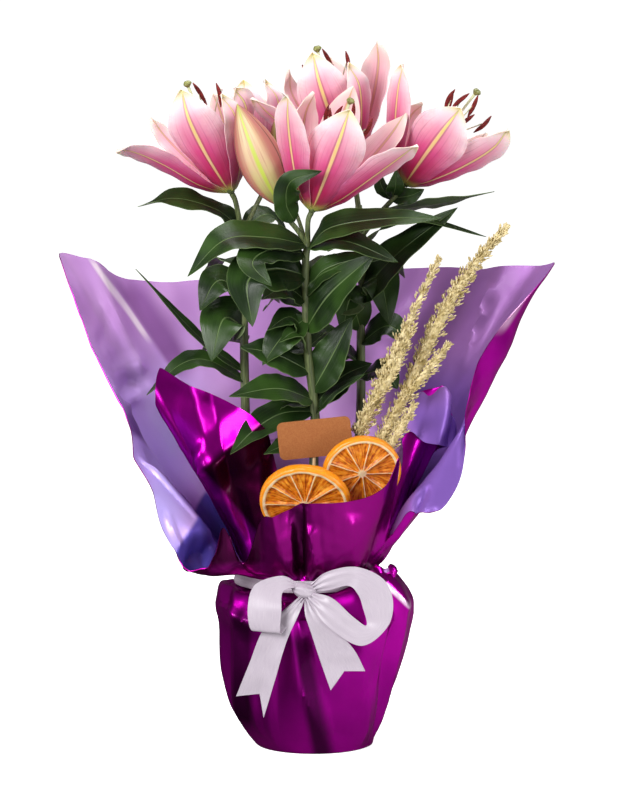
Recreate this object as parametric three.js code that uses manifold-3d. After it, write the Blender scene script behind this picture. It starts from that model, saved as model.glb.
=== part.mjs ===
// A potted oriental lily: three leafy stems with half-open pink blooms and buds, growing from bulbs in a pot.
// The pot stands in a bag of two-colour film, tied at the neck with a satin ribbon and a bow, and a second,
// smaller sheet of the film stands inside the first. Two dried orange slices, a kraft card and dried amaranth
// spikes are pushed into the soil on picks and stalks.
// Millimetres, +Z up, +X to the right of the front, +Y to the back, origin at the centre of the flat base.

import * as THREE from "three";
import { mergeVertices } from "three/addons/utils/BufferGeometryUtils.js";
import Module from "manifold-3d";

const wasm = await Module();
wasm.setup();

// Driving dimensions.
const GAP = 0.3; // between pieces that touch
const FILM = 0.8; // film, thicker than life so that it is a sound solid
const POT = { foot: 46, rim: 76, lip: 77.8, lipHeight: 8, height: 118, wall: 1.8, floor: 2.2, sides: 16 };
const POT_BASE = FILM + GAP;
const SOIL = { top: 106, mound: 3 };
const NECK = { x: -8, radius: 57, z: 145, half: 6, pleats: 16, pleat: 1.2 };
const INNER_NECK = { x: -8, radius: 50, z: 147, half: 0 };
const INNER_FOOT = { radius: 64, middle: 57 };
const BLADE = { leaf: 1.3, tepal: 1.2 };
const STEM = { foot: 3.9, top: 2.9 };
const RIBBON = { gathered: 10, thick: 0.8 };
const CARD = { width: 62, height: 32, corner: 5, thick: 0.9, tilt: 6 };
const PICK = 1.4; // radius of a wooden pick

// Small helpers.
const V = (x, y, z) => new THREE.Vector3(x, y, z);
const vectors = (rows) => rows.map((row) => V(...row));
const radians = THREE.MathUtils.degToRad;
const lerp = THREE.MathUtils.lerp;
const polar = (x, radius, degrees, z) => V(x + radius * Math.cos(radians(degrees)), radius * Math.sin(radians(degrees)), z);
const smooth = (rows) => new THREE.CatmullRomCurve3(rows[0].isVector3 ? rows : vectors(rows), false, "catmullrom", 0.5);

// A closed solid from shared vertices and triangles.
function solid(vertices, triangles) {
  const mesh = new wasm.Mesh({
    numProp: 3,
    vertProperties: new Float32Array(vertices.flatMap((p) => [p.x, p.y, p.z])),
    triVerts: new Uint32Array(triangles.flat()),
  });
  return new wasm.Manifold(mesh);
}

// The same from a closed three.js geometry.
function fromGeometry(geometry) {
  const bare = geometry.clone();
  bare.deleteAttribute("normal");
  bare.deleteAttribute("uv");
  const merged = mergeVertices(bare, 1e-4);
  const mesh = new wasm.Mesh({
    numProp: 3,
    vertProperties: new Float32Array(merged.attributes.position.array),
    triVerts: new Uint32Array(merged.index.array),
  });
  return new wasm.Manifold(mesh);
}

function toGeometry(manifold) {
  const mesh = manifold.getMesh();
  const geometry = new THREE.BufferGeometry();
  geometry.setAttribute("position", new THREE.BufferAttribute(new Float32Array(mesh.vertProperties), 3));
  geometry.setIndex(new THREE.BufferAttribute(new Uint32Array(mesh.triVerts), 1));
  geometry.computeVertexNormals();
  return geometry;
}

const union = (list) => list.reduce((whole, next) => whole.add(next));
const subtract = (body, list) => list.reduce((whole, next) => whole.subtract(next), body);

// The largest body of a union, so that a loose scrap is dropped.
function largest(manifold) {
  return manifold.decompose().sort((a, b) => b.volume() - a.volume())[0];
}

// A round rod along a smooth line, with its radius at each point of the line. Its ends are flat.
function rod(rows, radii, sides = 6, steps = 8) {
  const curve = smooth(rows);
  const vertices = [];
  const triangles = [];
  const ring = (row, k) => row * sides + (k % sides);
  for (let row = 0; row <= steps; row++) {
    const t = row / steps;
    const at = t * (radii.length - 1);
    const k = Math.min(Math.floor(at), radii.length - 2);
    const radius = lerp(radii[k], radii[k + 1], at - k);
    const centre = curve.getPoint(t);
    const along = curve.getTangent(t);
    const side = V(0, 1, 0).cross(along).normalize();
    if (side.lengthSq() < 0.5) side.set(1, 0, 0);
    const up = along.clone().cross(side).normalize();
    for (let i = 0; i < sides; i++) {
      const angle = (2 * Math.PI * i) / sides;
      vertices.push(
        centre.clone().addScaledVector(side, radius * Math.cos(angle)).addScaledVector(up, radius * Math.sin(angle)),
      );
    }
    if (row > 0) {
      for (let i = 0; i < sides; i++) {
        triangles.push([ring(row - 1, i), ring(row - 1, i + 1), ring(row, i + 1)]);
        triangles.push([ring(row - 1, i), ring(row, i + 1), ring(row, i)]);
      }
    }
  }
  for (let i = 1; i < sides - 1; i++) {
    triangles.push([ring(0, 0), ring(0, i + 1), ring(0, i)]);
    triangles.push([ring(steps, 0), ring(steps, i), ring(steps, i + 1)]);
  }
  return solid(vertices, triangles);
}

// A leaf or a tepal: a blade along a smooth line, pointed at both ends and thin at its margins. face is the way
// that its upper side looks, fold lifts the margins above the rib, cup curls them round, wave makes them ripple.
function blade({ line, width, face, thick, outline, rows, columns, fold = 0.18, cup = null, wave = 0, waves = 2 }) {
  const curve = smooth(line);
  const up = face.isVector3 ? face : V(...face);
  const vertices = [];
  const triangles = [];
  const start = vertices.push(curve.getPoint(0)) - 1;
  const top = [];
  const under = [];
  for (let row = 1; row < rows; row++) {
    const t = row / rows;
    const centre = curve.getPoint(t);
    const along = curve.getTangent(t);
    const side = along.clone().cross(up).normalize();
    const normal = side.clone().cross(along).normalize();
    const half = (width / 2) * outline(t);
    const topRow = [];
    const underRow = [];
    for (let k = 0; k <= columns; k++) {
      const s = -1 + (2 * k) / columns;
      const across = s * half;
      const bend = cup ? cup(t) : 0;
      const sideways = bend ? Math.sin(across * bend) / bend : across;
      const lift = bend ? (1 - Math.cos(across * bend)) / bend : fold * Math.abs(across);
      const ripple = wave * s * Math.abs(s) * Math.sin(2 * Math.PI * waves * t);
      const middle = centre.clone().addScaledVector(side, sideways).addScaledVector(normal, lift + ripple);
      if (k === 0 || k === columns) {
        const shared = vertices.push(middle) - 1;
        topRow.push(shared);
        underRow.push(shared);
      } else {
        topRow.push(vertices.push(middle.clone().addScaledVector(normal, thick / 2)) - 1);
        underRow.push(vertices.push(middle.clone().addScaledVector(normal, -thick / 2)) - 1);
      }
    }
    top.push(topRow);
    under.push(underRow);
  }
  const tip = vertices.push(curve.getPoint(1)) - 1;
  const last = rows - 2;
  for (let k = 0; k < columns; k++) {
    triangles.push([start, top[0][k + 1], top[0][k]], [start, under[0][k], under[0][k + 1]]);
    triangles.push([tip, top[last][k], top[last][k + 1]], [tip, under[last][k + 1], under[last][k]]);
    for (let row = 0; row < last; row++) {
      const [a, b, c, d] = [top[row][k], top[row][k + 1], top[row + 1][k + 1], top[row + 1][k]];
      const [e, f, g, h] = [under[row][k], under[row][k + 1], under[row + 1][k + 1], under[row + 1][k]];
      triangles.push([a, b, c], [a, c, d], [e, g, f], [e, h, g]);
    }
  }
  return solid(vertices, triangles);
}

const lanceolate = (t) => Math.sin(Math.PI * t ** 0.72) ** 0.9;
const tepalOutline = (t) => (t < 0.55 ? (t / 0.55) ** 0.65 : 1 - ((t - 0.55) / 0.45) ** 2.2);

// Leaves: the line of the rib from the stem to the tip, the width, and the way that the upper side looks.
const LEVEL = [0, 0, 1];
const FRONT_LEAVES = [
  { line: [[-7, -25, 430], [-42, -44, 438], [-76, -58, 437], [-106, -68, 408]], width: 40, face: [0, -0.55, 0.83] },
  { line: [[-8, -25, 422], [-38, -52, 428], [-52, -72, 419], [-36, -84, 402]], width: 34, face: [0, -0.7, 0.7] },
  { line: [[-8, -24, 404], [-34, -40, 411], [-56, -54, 402], [-52, -62, 365]], width: 50, face: [0, -0.8, 0.6] },
  { line: [[-2, -19, 298], [-32, -40, 310], [-72, -58, 306]], width: 36, face: [0, -0.6, 0.8] },
  { line: [[-4, -20, 322], [-34, -30, 338], [-63, -38, 345]], width: 34, face: [0, -0.7, 0.7] },
  { line: [[0, -18, 288], [-28, -19, 286], [-51, -32, 274], [-71, -50, 256]], width: 30, face: [0, -0.7, 0.7] },
  { line: [[0, -18, 272], [-23, -28, 262], [-43, -36, 254]], width: 20, face: [0, -0.7, 0.7] },
  { line: [[-2, -18, 294], [-25, -8, 293], [-48, -6, 281]], width: 24, face: [0, -0.3, 0.95] },
  { line: [[-6, -21, 337], [-16, -36, 357], [-30, -44, 350]], width: 18, face: [0, -0.5, 0.87] },
  { line: [[-6, -26, 426], [13, -44, 446], [59, -56, 455], [105, -60, 456]], width: 32, face: [0, -0.6, 0.8] },
  { line: [[-7, -25, 428], [25, -46, 435], [69, -68, 420]], width: 33, face: [0, -0.5, 0.87] },
  { line: [[-8, -23, 358], [13, -44, 391], [50, -58, 426]], width: 42, face: [-0.5, -0.75, 0.45] },
  { line: [[-2, -19, 305], [15, -34, 338], [31, -44, 371]], width: 36, face: [-0.4, -0.8, 0.4] },
  { line: [[0, -18, 285], [16, -28, 305], [42, -34, 322]], width: 15, face: [-0.3, -0.5, 0.8] },
  { line: [[-17, -29, 450], [-24, -44, 466], [-20, -62, 487], [6, -74, 497]], width: 24, face: [0.2, -0.9, 0.3] },
  { line: [[-8, -23, 383], [-25, -30, 394], [-45, -36, 385]], width: 36, face: [0, -0.5, 0.8] },
  { line: [[-6, -21, 353], [-21, -28, 369], [-40, -36, 359]], width: 26, face: [0, -0.5, 0.8] },
  { line: [[-8, -23, 378], [-28, -6, 386], [-44, 4, 370]], width: 32, face: [0, -0.3, 1] },
  { line: [[-8, -24, 398], [16, -10, 409], [40, -2, 398]], width: 34, face: [0, -0.4, 0.9] },
  { line: [[-5, -21, 343], [12, -8, 354], [20, -4, 340]], width: 28, face: [0, -0.4, 0.9] },
  { line: [[-6, -21, 338], [-26, -2, 344], [-42, 6, 328]], width: 28, face: [0, -0.4, 0.9] },
  { line: [[-7, -22, 368], [-28, -32, 352], [-44, -40, 330]], width: 30, face: [-0.2, -0.8, 0.5] },
  { line: [[-1, -18, 292], [22, -14, 316], [48, -12, 328]], width: 32, face: [-0.3, -0.7, 0.6] },
  { line: [[-8, -24, 386], [6, -32, 408], [34, -38, 419], [58, -42, 421]], width: 24, face: [-0.3, -0.6, 0.7] },
];
const LEFT_LEAVES = [
  { line: [[-62, 18, 438], [-84, 8, 456], [-118, 0, 466], [-149, -8, 460]], width: 28, face: [0, -0.5, 0.87], wave: 3 },
  { line: [[-61, 19, 438], [-40, 34, 449], [-24, 46, 434]], width: 26, face: [0, -0.5, 0.85] },
  { line: [[-60, 19, 354], [-77, -1, 364], [-87, -16, 330]], width: 44, face: [-0.2, -0.8, 0.55] },
  { line: [[-59, 20, 316], [-97, 12, 346], [-151, -4, 407]], width: 15, face: [0.6, -0.45, 0.65] },
  { line: [[-59, 20, 308], [-90, 4, 328], [-114, -2, 325], [-142, -6, 300]], width: 24, face: [0, -0.55, 0.85] },
  { line: [[-60, 20, 341], [-76, 44, 344], [-97, 60, 328]], width: 28, face: LEVEL },
  { line: [[-60, 20, 378], [-45, 40, 383], [-30, 60, 370]], width: 28, face: LEVEL },
  { line: [[-60, 19, 408], [-79, 40, 409], [-95, 56, 386]], width: 28, face: LEVEL },
  { line: [[-60, 19, 385], [-82, 2, 396], [-97, -8, 372]], width: 32, face: [0, -0.7, 0.6] },
  { line: [[-61, 19, 415], [-40, 6, 430], [-24, 0, 420]], width: 26, face: [0, -0.5, 0.87] },
];
const RIGHT_LEAVES = [
  { line: [[38, 31, 441], [76, 18, 455], [110, 8, 462], [151, 0, 472]], width: 22, face: [0, 0.45, 0.9] },
  { line: [[39, 29, 420], [58, 10, 440], [93, -2, 447], [144, -12, 435]], width: 16, face: [0, -0.25, 1] },
  { line: [[39, 28, 376], [63, 8, 412], [120, -4, 459]], width: 44, face: [-0.3, -0.6, 0.7] },
  { line: [[39, 29, 389], [55, 10, 396], [63, 0, 359]], width: 36, face: [0, -0.8, 0.6] },
  { line: [[39, 27, 351], [30, 12, 379], [23, 4, 350]], width: 31, face: [0, -0.8, 0.6] },
  { line: [[39, 30, 410], [59, 54, 409], [77, 74, 390]], width: 31, face: LEVEL },
  { line: [[39, 28, 340], [62, 16, 356], [80, 8, 342]], width: 32, face: [0, -0.6, 0.8] },
  { line: [[39, 31, 427], [25, 52, 429], [11, 70, 413]], width: 28, face: LEVEL },
  { line: [[39, 28, 366], [30, 56, 372], [31, 76, 351]], width: 31, face: LEVEL },
  { line: [[39, 27, 312], [58, 12, 318], [70, 2, 304]], width: 28, face: [0, -0.6, 0.8] },
  { line: [[39, 29, 396], [22, 16, 408], [10, 10, 396]], width: 30, face: [0, -0.5, 0.85] },
  { line: [[39, 27, 322], [24, 16, 334], [10, 10, 324]], width: 28, face: [0, -0.5, 0.85] },
  { line: [[64, 21, 463], [56, 12, 476], [54, 10, 489]], width: 14, face: [-0.5, -0.8, 0.2] },
  { line: [[65, 20, 464], [68, 8, 476], [68, 4, 490]], width: 15, face: [0.1, -1, 0.2] },
  { line: [[65, 21, 464], [80, 6, 468], [92, 0, 474]], width: 15, face: [0.5, -0.8, 0.2] },
];

// Stems and the stalks of the blooms and buds, as lines from the bulb or the stem's top.
const STEM_LINES = {
  front: [[0, -24, 94.6], [0, -22, 150], [-1, -16, 238], [0, -18, 287], [-6, -21, 341], [-8, -25, 409], [-6, -26, 432]],
  left: [[-30, 16, 94.6], [-42, 17, 150], [-58, 18, 233], [-59, 20, 284], [-60, 20, 343], [-60, 19, 395], [-62, 18, 438]],
  right: [[30, 16, 94.6], [30, 20, 150], [36, 26, 232], [39, 27, 291], [39, 28, 351], [40, 30, 410], [37, 32, 457]],
};

// Blooms: the foot on the stalk, the direction of the axis, and the tepals as the angle round the axis from the
// front, how far the tip stands out and up, the width, how far the blade is turned about its own rib, and how far the
// rib is arched. The first three are the inner, wider ones. reach is how high the stamens stand, as a share of the usual height.
const BLOOMS = [
  {
    foot: [-70, 14, 469], axis: [-0.37, -0.083, 0.926], reach: 1,
    tepals: [
      [343, 17, 100, 52, 0], [96, 34, 82, 42, -45], [228, 54, 80, 26, 0],
      [50, 26, 84, 30, 0], [160, 40, 78, 28, 0], [283, 74, 75, 36, 34, 9],
    ],
  },
  {
    foot: [-3, -31, 458], axis: [0.319, -0.133, 0.938], reach: 1,
    tepals: [
      [2, 26, 99, 54, 0], [80, 64, 87, 42, -38, 4], [232, 36, 92, 36, 0],
      [128, 58, 98, 36, 0], [180, 34, 104, 34, 0], [307, 61, 98, 36, 22],
    ],
  },
  {
    foot: [30, 38, 493], axis: [-0.28, -0.06, 0.957], reach: 1,
    tepals: [
      [350, 21, 101, 50, 0], [108, 52, 91, 42, 25], [242, 30, 88, 32, 0],
      [45, 26, 84, 32, 0], [170, 42, 84, 30, 0], [286, 62, 80, 30, 30],
    ],
  },
  {
    foot: [75, 16, 475], axis: [0.602, -0.061, 0.796], reach: 1,
    tepals: [
      [352, 31, 85, 54, 0], [64, 42, 94, 42, -25], [232, 34, 62, 32, 0],
      [135, 38, 74, 30, 0], [183, 36, 66, 28, 0], [280, 61, 84, 32, 40],
    ],
  },
  {
    foot: [-44, 66, 478], axis: [-0.16, 0.27, 0.95], reach: 0.66,
    tepals: [
      [350, 14, 80, 36, 0], [110, 22, 72, 34, 0], [230, 26, 76, 34, 0],
      [50, 14, 78, 28, 0], [170, 32, 76, 28, 0], [290, 20, 78, 28, 0],
    ],
  },
];
const BUDS = {
  bud_large: { foot: [-28, -30, 463], tip: [-65, -32, 549], radius: 19.5 },
  bud_small: { foot: [-27, 5, 487], tip: [-33, 3, 535], radius: 8.5 },
};
const STALKS = {
  front: [
    { line: [[-6, -26, 430], [-15, -28, 443]], to: BUDS.bud_large, radius: 2.4 },
    { line: [[-6, -26, 428]], to: BLOOMS[1], radius: 2.4 },
    { line: [[-6, -26, 426], [-14, -10, 450]], to: BUDS.bud_small, radius: 1.8 },
  ],
  left: [
    { line: [[-62, 18, 436]], to: BLOOMS[0], radius: 2.4 },
    { line: [[-62, 18, 432], [-52, 34, 452]], to: BLOOMS[4], radius: 2.2 },
  ],
  right: [
    { line: [[37, 32, 454]], to: BLOOMS[2], radius: 2.4 },
    { line: [[39, 31, 430], [54, 25, 450]], to: BLOOMS[3], radius: 2.4 },
  ],
};

// The outer sheet above the neck, as ribs round it: the angle at the neck, then points low, high and at the edge.
// The back stands high between two drawn-out corners, both front sides are turned outwards, the front is low.
const OUTER_RIBS = [
  { angle: 90, line: [[-8, 98, 280], [-6, 114, 340], [-6, 126, 386]], wide: true },
  { angle: 108, line: [[-60, 92, 280], [-72, 106, 336], [-88, 116, 384]], wide: true },
  { angle: 126, line: [[-100, 78, 280], [-122, 90, 336], [-144, 100, 384]], wide: true },
  { angle: 143, line: [[-128, 62, 280], [-158, 70, 342], [-182, 76, 400]], wide: true },
  { angle: 158, line: [[-140, 44, 270], [-176, 50, 338], [-213, 52, 411]], wide: true },
  { angle: 172, line: [[-138, 24, 252], [-170, 24, 305], [-199, 24, 364]], wide: true },
  { angle: 184, line: [[-130, 4, 236], [-154, 0, 280], [-179, -4, 320]] },
  { angle: 196, line: [[-118, -12, 221], [-142, -18, 254], [-158, -24, 281]] },
  { angle: 207, line: [[-104, -24, 202], [-137, -38, 250], [-146, -54, 254]] },
  { angle: 217, line: [[-92, -34, 188], [-122, -52, 240], [-136, -70, 230]] },
  { angle: 226, line: [[-80, -44, 176], [-97, -66, 208], [-127, -86, 198]] },
  { angle: 235, line: [[-74, -57, 161], [-98, -75, 164], [-107, -93, 172]] },
  { angle: 241, line: [[-62, -62, 157], [-80, -79, 161], [-84, -91, 176]] },
  { angle: 244.5, line: [[-54, -63, 156], [-66, -77, 168], [-76, -83, 199]] },
  { angle: 248, line: [[-47, -63, 156], [-54, -71, 162], [-60, -79, 168]] },
  { angle: 252, line: [[-39, -66, 161], [-42, -79, 183], [-45, -88, 206]] },
  { angle: 260, line: [[-27, -73, 164], [-31, -87, 187], [-35, -94, 210]] },
  { angle: 269, line: [[-14, -66, 162], [-16, -78, 186], [-22, -88, 215]] },
  { angle: 277, line: [[-2, -76, 164], [-2, -90, 188], [-10, -96, 221]] },
  { angle: 288, line: [[16, -76, 164], [16, -91, 188], [17, -97, 222]] },
  { angle: 300, line: [[34, -68, 164], [38, -84, 190], [42, -92, 226]] },
  { angle: 309, line: [[42, -60, 166], [51, -75, 198], [60, -84, 236]] },
  { angle: 315, line: [[45, -51, 169], [57, -62, 208], [71, -68, 254]] },
  { angle: 320, line: [[48, -41, 165], [57, -45, 178], [62, -49, 188]] },
  { angle: 326, line: [[56, -36, 170], [75, -56, 214], [79, -72, 212]] },
  { angle: 334, line: [[70, -30, 178], [90, -50, 232], [98, -74, 210]] },
  { angle: 342, line: [[86, -24, 194], [107, -40, 252], [112, -64, 219]] },
  { angle: 350, line: [[102, -10, 216], [120, -26, 270], [124, -46, 243]] },
  { angle: 360, line: [[116, 4, 243], [130, 4, 282], [128, -14, 288]] },
  { angle: 372, line: [[124, 20, 260], [153, 24, 316], [140, 8, 330]] },
  { angle: 384, line: [[122, 36, 270], [165, 46, 336], [167, 34, 366]] },
  { angle: 397, line: [[114, 54, 278], [160, 64, 342], [202, 64, 400]], wide: true },
  { angle: 412, line: [[88, 78, 280], [122, 92, 338], [148, 100, 395]], wide: true },
  { angle: 430, line: [[42, 94, 280], [58, 110, 338], [93, 118, 394]], wide: true },
];
// The smaller sheet inside: one high corner on the left, and the right side turned outwards.
const INNER_RIBS = [
  { angle: 90, line: [[-8, 60, 190], [-8, 68, 225], [-8, 74, 252]] },
  { angle: 120, line: [[-42, 50, 190], [-52, 56, 225], [-60, 60, 252]] },
  { angle: 150, line: [[-72, 34, 192], [-90, 36, 226], [-104, 36, 256]] },
  { angle: 175, line: [[-78, 10, 192], [-98, 6, 232], [-118, 2, 270]] },
  { angle: 192, line: [[-74, -6, 188], [-100, -12, 236], [-134, -20, 298]] },
  { angle: 203, line: [[-68, -16, 186], [-96, -20, 240], [-127, -24, 320]] },
  { angle: 214, line: [[-60, -24, 184], [-82, -24, 240], [-100, -25, 309]] },
  { angle: 226, line: [[-50, -30, 182], [-62, -27, 238], [-68, -23, 294]] },
  { angle: 238, line: [[-42, -34, 180], [-46, -28, 230], [-46, -22, 277]] },
  { angle: 248, line: [[-38, -37, 172], [-36, -32, 206], [-33, -26, 244]] },
  { angle: 259, line: [[-18, -49, 153], [-19, -48, 159], [-20, -46, 165]] },
  { angle: 280, line: [[1, -50, 153], [1, -50, 158], [1, -50, 163]] },
  { angle: 300, line: [[17, -44, 153], [18, -45, 158], [19, -45, 163]] },
  { angle: 313, line: [[27, -38, 155], [30, -39, 161], [33, -40, 168]] },
  { angle: 324, line: [[41, -31, 170], [54, -33, 202], [68, -32, 236]] },
  { angle: 335, line: [[56, -20, 185], [79, -12, 290], [78, -22, 270]] },
  { angle: 345, line: [[68, -14, 195], [106, -6, 303], [94, -24, 262]] },
  { angle: 355, line: [[74, -4, 200], [114, 2, 286], [110, -18, 258]] },
  { angle: 368, line: [[72, 8, 200], [112, 12, 264], [115, -2, 256]] },
  { angle: 390, line: [[60, 28, 192], [80, 34, 225], [94, 38, 250]] },
  { angle: 420, line: [[24, 52, 190], [34, 60, 222], [42, 66, 252]] },
];
// The bag below the neck: height, radius, how deep its folds are, how far it sags to the left, and how far its
// shoulder stands up on the left and on the right of the bow.
const BAG = [
  { z: FILM / 2, radius: 40, fold: 0, sag: 0, left: 0, right: 0 },
  { z: FILM / 2, radius: 48, fold: 0, sag: 1, left: 0, right: 0 },
  { z: 12, radius: 55, fold: 1, sag: 2.5, left: 0, right: 0 },
  { z: 42, radius: 68.5, fold: 2, sag: 5, left: 0, right: 0 },
  { z: 108, radius: 82.5, fold: 1, sag: 0, left: 1, right: 3 },
  { z: 123, radius: 81.5, fold: 1, sag: -1, left: 7, right: 15 },
  { z: 132, radius: 74, fold: 2, sag: 1, left: 8, right: 27 },
  { z: 134, radius: 66.5, fold: 1, sag: 1, left: 2, right: 3 },
];
const SHOULDERS = { left: 200, right: 328 };
const FOLDS = { count: 11, phase: 40 };

// A point on the ribs: u runs from rib to rib and right round, v from the neck to the edge.
function ribPoint(ribs, neck, u, v) {
  const count = ribs.length;
  const k = Math.floor(u);
  const onRib = (index) => {
    const rib = ribs[((index % count) + count) % count];
    return smooth([polar(neck.x, neck.radius, rib.angle, neck.z + neck.half), ...vectors(rib.line)]).getPoint(v);
  };
  return smooth([onRib(k - 1), onRib(k), onRib(k + 1), onRib(k + 2)]).getPoint((1 + u - k) / 3);
}
function ribAngle(ribs, u) {
  const k = Math.floor(u) % ribs.length;
  const here = ribs[k].angle;
  const next = k + 1 < ribs.length ? ribs[k + 1].angle : ribs[0].angle + 360;
  return lerp(here, next, u - Math.floor(u));
}
const ribColumns = (ribs) => ribs.flatMap((rib, k) => (rib.wide ? [k, k + 0.5] : [k]));

// A sheet that closes round itself, given as rings of points on its middle surface, with thickness to both sides.
function sheet(rings, pole = null) {
  const rows = rings.length;
  const count = rings[0].length;
  const outer = [];
  const inner = [];
  for (let row = 0; row < rows; row++) {
    for (let k = 0; k < count; k++) {
      const here = rings[row][k];
      const round = rings[row][(k + 1) % count].clone().sub(rings[row][(k + count - 1) % count]);
      const below = row > 0 ? rings[row - 1][k] : (pole ?? here);
      const above = row < rows - 1 ? rings[row + 1][k] : here;
      const normal = round.cross(above.clone().sub(below)).normalize();
      outer.push(here.clone().addScaledVector(normal, FILM / 2));
      inner.push(here.clone().addScaledVector(normal, -FILM / 2));
    }
  }
  const vertices = [...outer, ...inner];
  const triangles = [];
  const at = (row, k) => row * count + (k % count);
  const behind = (row, k) => at(row, k) + outer.length;
  for (let k = 0; k < count; k++) {
    for (let row = 0; row < rows - 1; row++) {
      const [a, b, c, d] = [at(row, k), at(row, k + 1), at(row + 1, k + 1), at(row + 1, k)];
      const [e, f, g, h] = [behind(row, k), behind(row, k + 1), behind(row + 1, k + 1), behind(row + 1, k)];
      triangles.push([a, b, c], [a, c, d], [e, g, f], [e, h, g]);
    }
    const [p, q] = [at(rows - 1, k), at(rows - 1, k + 1)];
    const [r, s] = [behind(rows - 1, k), behind(rows - 1, k + 1)];
    triangles.push([p, q, s], [p, s, r]);
    if (!pole) triangles.push([at(0, k), behind(0, k + 1), at(0, k + 1)], [at(0, k), behind(0, k), behind(0, k + 1)]);
  }
  if (pole) {
    const low = vertices.push(V(pole.x, pole.y, pole.z - FILM / 2)) - 1;
    const high = vertices.push(V(pole.x, pole.y, pole.z + FILM / 2)) - 1;
    for (let k = 0; k < count; k++) {
      triangles.push([low, at(0, k + 1), at(0, k)], [high, behind(0, k), behind(0, k + 1)]);
    }
  }
  return solid(vertices, triangles);
}

function bagRing(level, columns) {
  return columns.map((u) => {
    const angle = ribAngle(OUTER_RIBS, u);
    const fold = level.fold * Math.cos(radians(FOLDS.count * angle + FOLDS.phase));
    const sag = -level.sag * Math.cos(radians(angle));
    const towardsNeck = Math.max(0, (level.z - BAG[4].z) / (NECK.z - BAG[4].z));
    const left = level.left * Math.max(0, Math.cos(radians(angle - SHOULDERS.left))) ** 2;
    const right = level.right * Math.max(0, Math.cos(radians(angle - SHOULDERS.right))) ** 4;
    return polar(NECK.x * towardsNeck, level.radius + fold + sag, angle, level.z + left + right);
  });
}

function outerFilm() {
  const columns = ribColumns(OUTER_RIBS);
  const neck = [-1, 1].map((end) => columns.map((u) => {
    const angle = ribAngle(OUTER_RIBS, u);
    const radius = NECK.radius + NECK.pleat * Math.cos(radians(NECK.pleats * angle));
    return polar(NECK.x, radius, angle, NECK.z + end * NECK.half);
  }));
  const flare = [1, 2, 3, 4, 5, 6].map((row) => columns.map((u) => ribPoint(OUTER_RIBS, NECK, u, row / 6)));
  return sheet([...BAG.map((level) => bagRing(level, columns)), ...neck, ...flare], V(0, 0, FILM / 2));
}

function innerFilm() {
  const columns = ribColumns(INNER_RIBS);
  const ring = (radius, z) => columns.map((u) => polar(NECK.x / 2, radius, ribAngle(INNER_RIBS, u), z));
  const footHeight = SOIL.top + SOIL.mound + GAP;
  const flare = [0, 1, 2, 3, 4, 5].map((row) => columns.map((u) => ribPoint(INNER_RIBS, INNER_NECK, u, row / 5)));
  return sheet([ring(INNER_FOOT.radius, footHeight), ring(INNER_FOOT.middle, footHeight + 18), ...flare]);
}

// A round cup: the pot, with a lip at its rim and holes in its floor.
function pot() {
  const { foot, rim, lip, lipHeight, height, wall, floor, sides } = POT;
  const top = POT_BASE + height;
  const profile = [
    [0, POT_BASE], [foot, POT_BASE], [rim - 0.6, top - lipHeight], [lip, top - lipHeight], [lip, top],
    [rim - wall, top], [foot - wall, POT_BASE + floor], [0, POT_BASE + floor],
  ];
  const body = fromGeometry(upright(profile, sides));
  const holes = [45, 135, 225, 315].map((angle) => {
    const hole = new THREE.CylinderGeometry(5, 5, 4 * floor, 8);
    hole.rotateX(Math.PI / 2);
    const at = polar(0, 30, angle, POT_BASE);
    return fromGeometry(hole.translate(at.x, at.y, at.z));
  });
  return subtract(body, holes);
}

// A turned shape with its axis along Z.
function upright(profile, sides) {
  const lathe = new THREE.LatheGeometry(profile.map(([r, z]) => new THREE.Vector2(r, z)), sides);
  return lathe.rotateX(Math.PI / 2);
}

// The soil, a little mounded, with plain holes for what stands in it and hollows for the bulbs.
function soil(holes) {
  const { foot, rim, wall, floor, height, sides } = POT;
  const bottom = POT_BASE + floor + GAP;
  const inside = (z) => lerp(foot, rim, (z - POT_BASE) / height) - wall - 2 * GAP;
  const profile = [
    [0, bottom], [inside(bottom), bottom], [inside(SOIL.top), SOIL.top],
    [48, SOIL.top + 1.4], [24, SOIL.top + SOIL.mound], [0, SOIL.top + SOIL.mound],
  ];
  return subtract(fromGeometry(upright(profile, sides)), holes);
}

// A bulb of overlapping scales: a round body whose surface is raised in rows of scales, and its hollow in the soil.
function bulb(x, y) {
  const [sides, rings, radius, low, high] = [12, 7, 20, 58, 93.5];
  const vertices = [];
  const triangles = [];
  for (let row = 1; row < rings; row++) {
    const t = row / rings;
    const z = lerp(low, high, t);
    const body = radius * Math.sin(Math.PI * t ** 0.85) ** 0.7;
    for (let k = 0; k < sides; k++) {
      const turn = (2 * Math.PI * k) / sides;
      const scale = 1.2 * Math.cos(4 * turn + Math.PI * Math.floor(row / 3));
      vertices.push(V(x + (body + scale) * Math.cos(turn), y + (body + scale) * Math.sin(turn), z));
    }
  }
  const last = rings - 2;
  const bottom = vertices.push(V(x, y, low)) - 1;
  const top = vertices.push(V(x, y, high)) - 1;
  for (let k = 0; k < sides; k++) {
    const next = (k + 1) % sides;
    triangles.push([bottom, next, k], [top, last * sides + k, last * sides + next]);
    for (let row = 0; row < last; row++) {
      const [a, b, c, d] = [row * sides + k, row * sides + next, (row + 1) * sides + next, (row + 1) * sides + k];
      triangles.push([a, b, c], [a, c, d]);
    }
  }
  return solid(vertices, triangles);
}

function bulbHollow(x, y) {
  const profile = [[0, 57.6], [15.5, 57.6], [22.8, 67], [23, 80], [15, 88.5], [9, 94], [0, 94]];
  return fromGeometry(upright(profile, 10).translate(x, y, 0));
}

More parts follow.
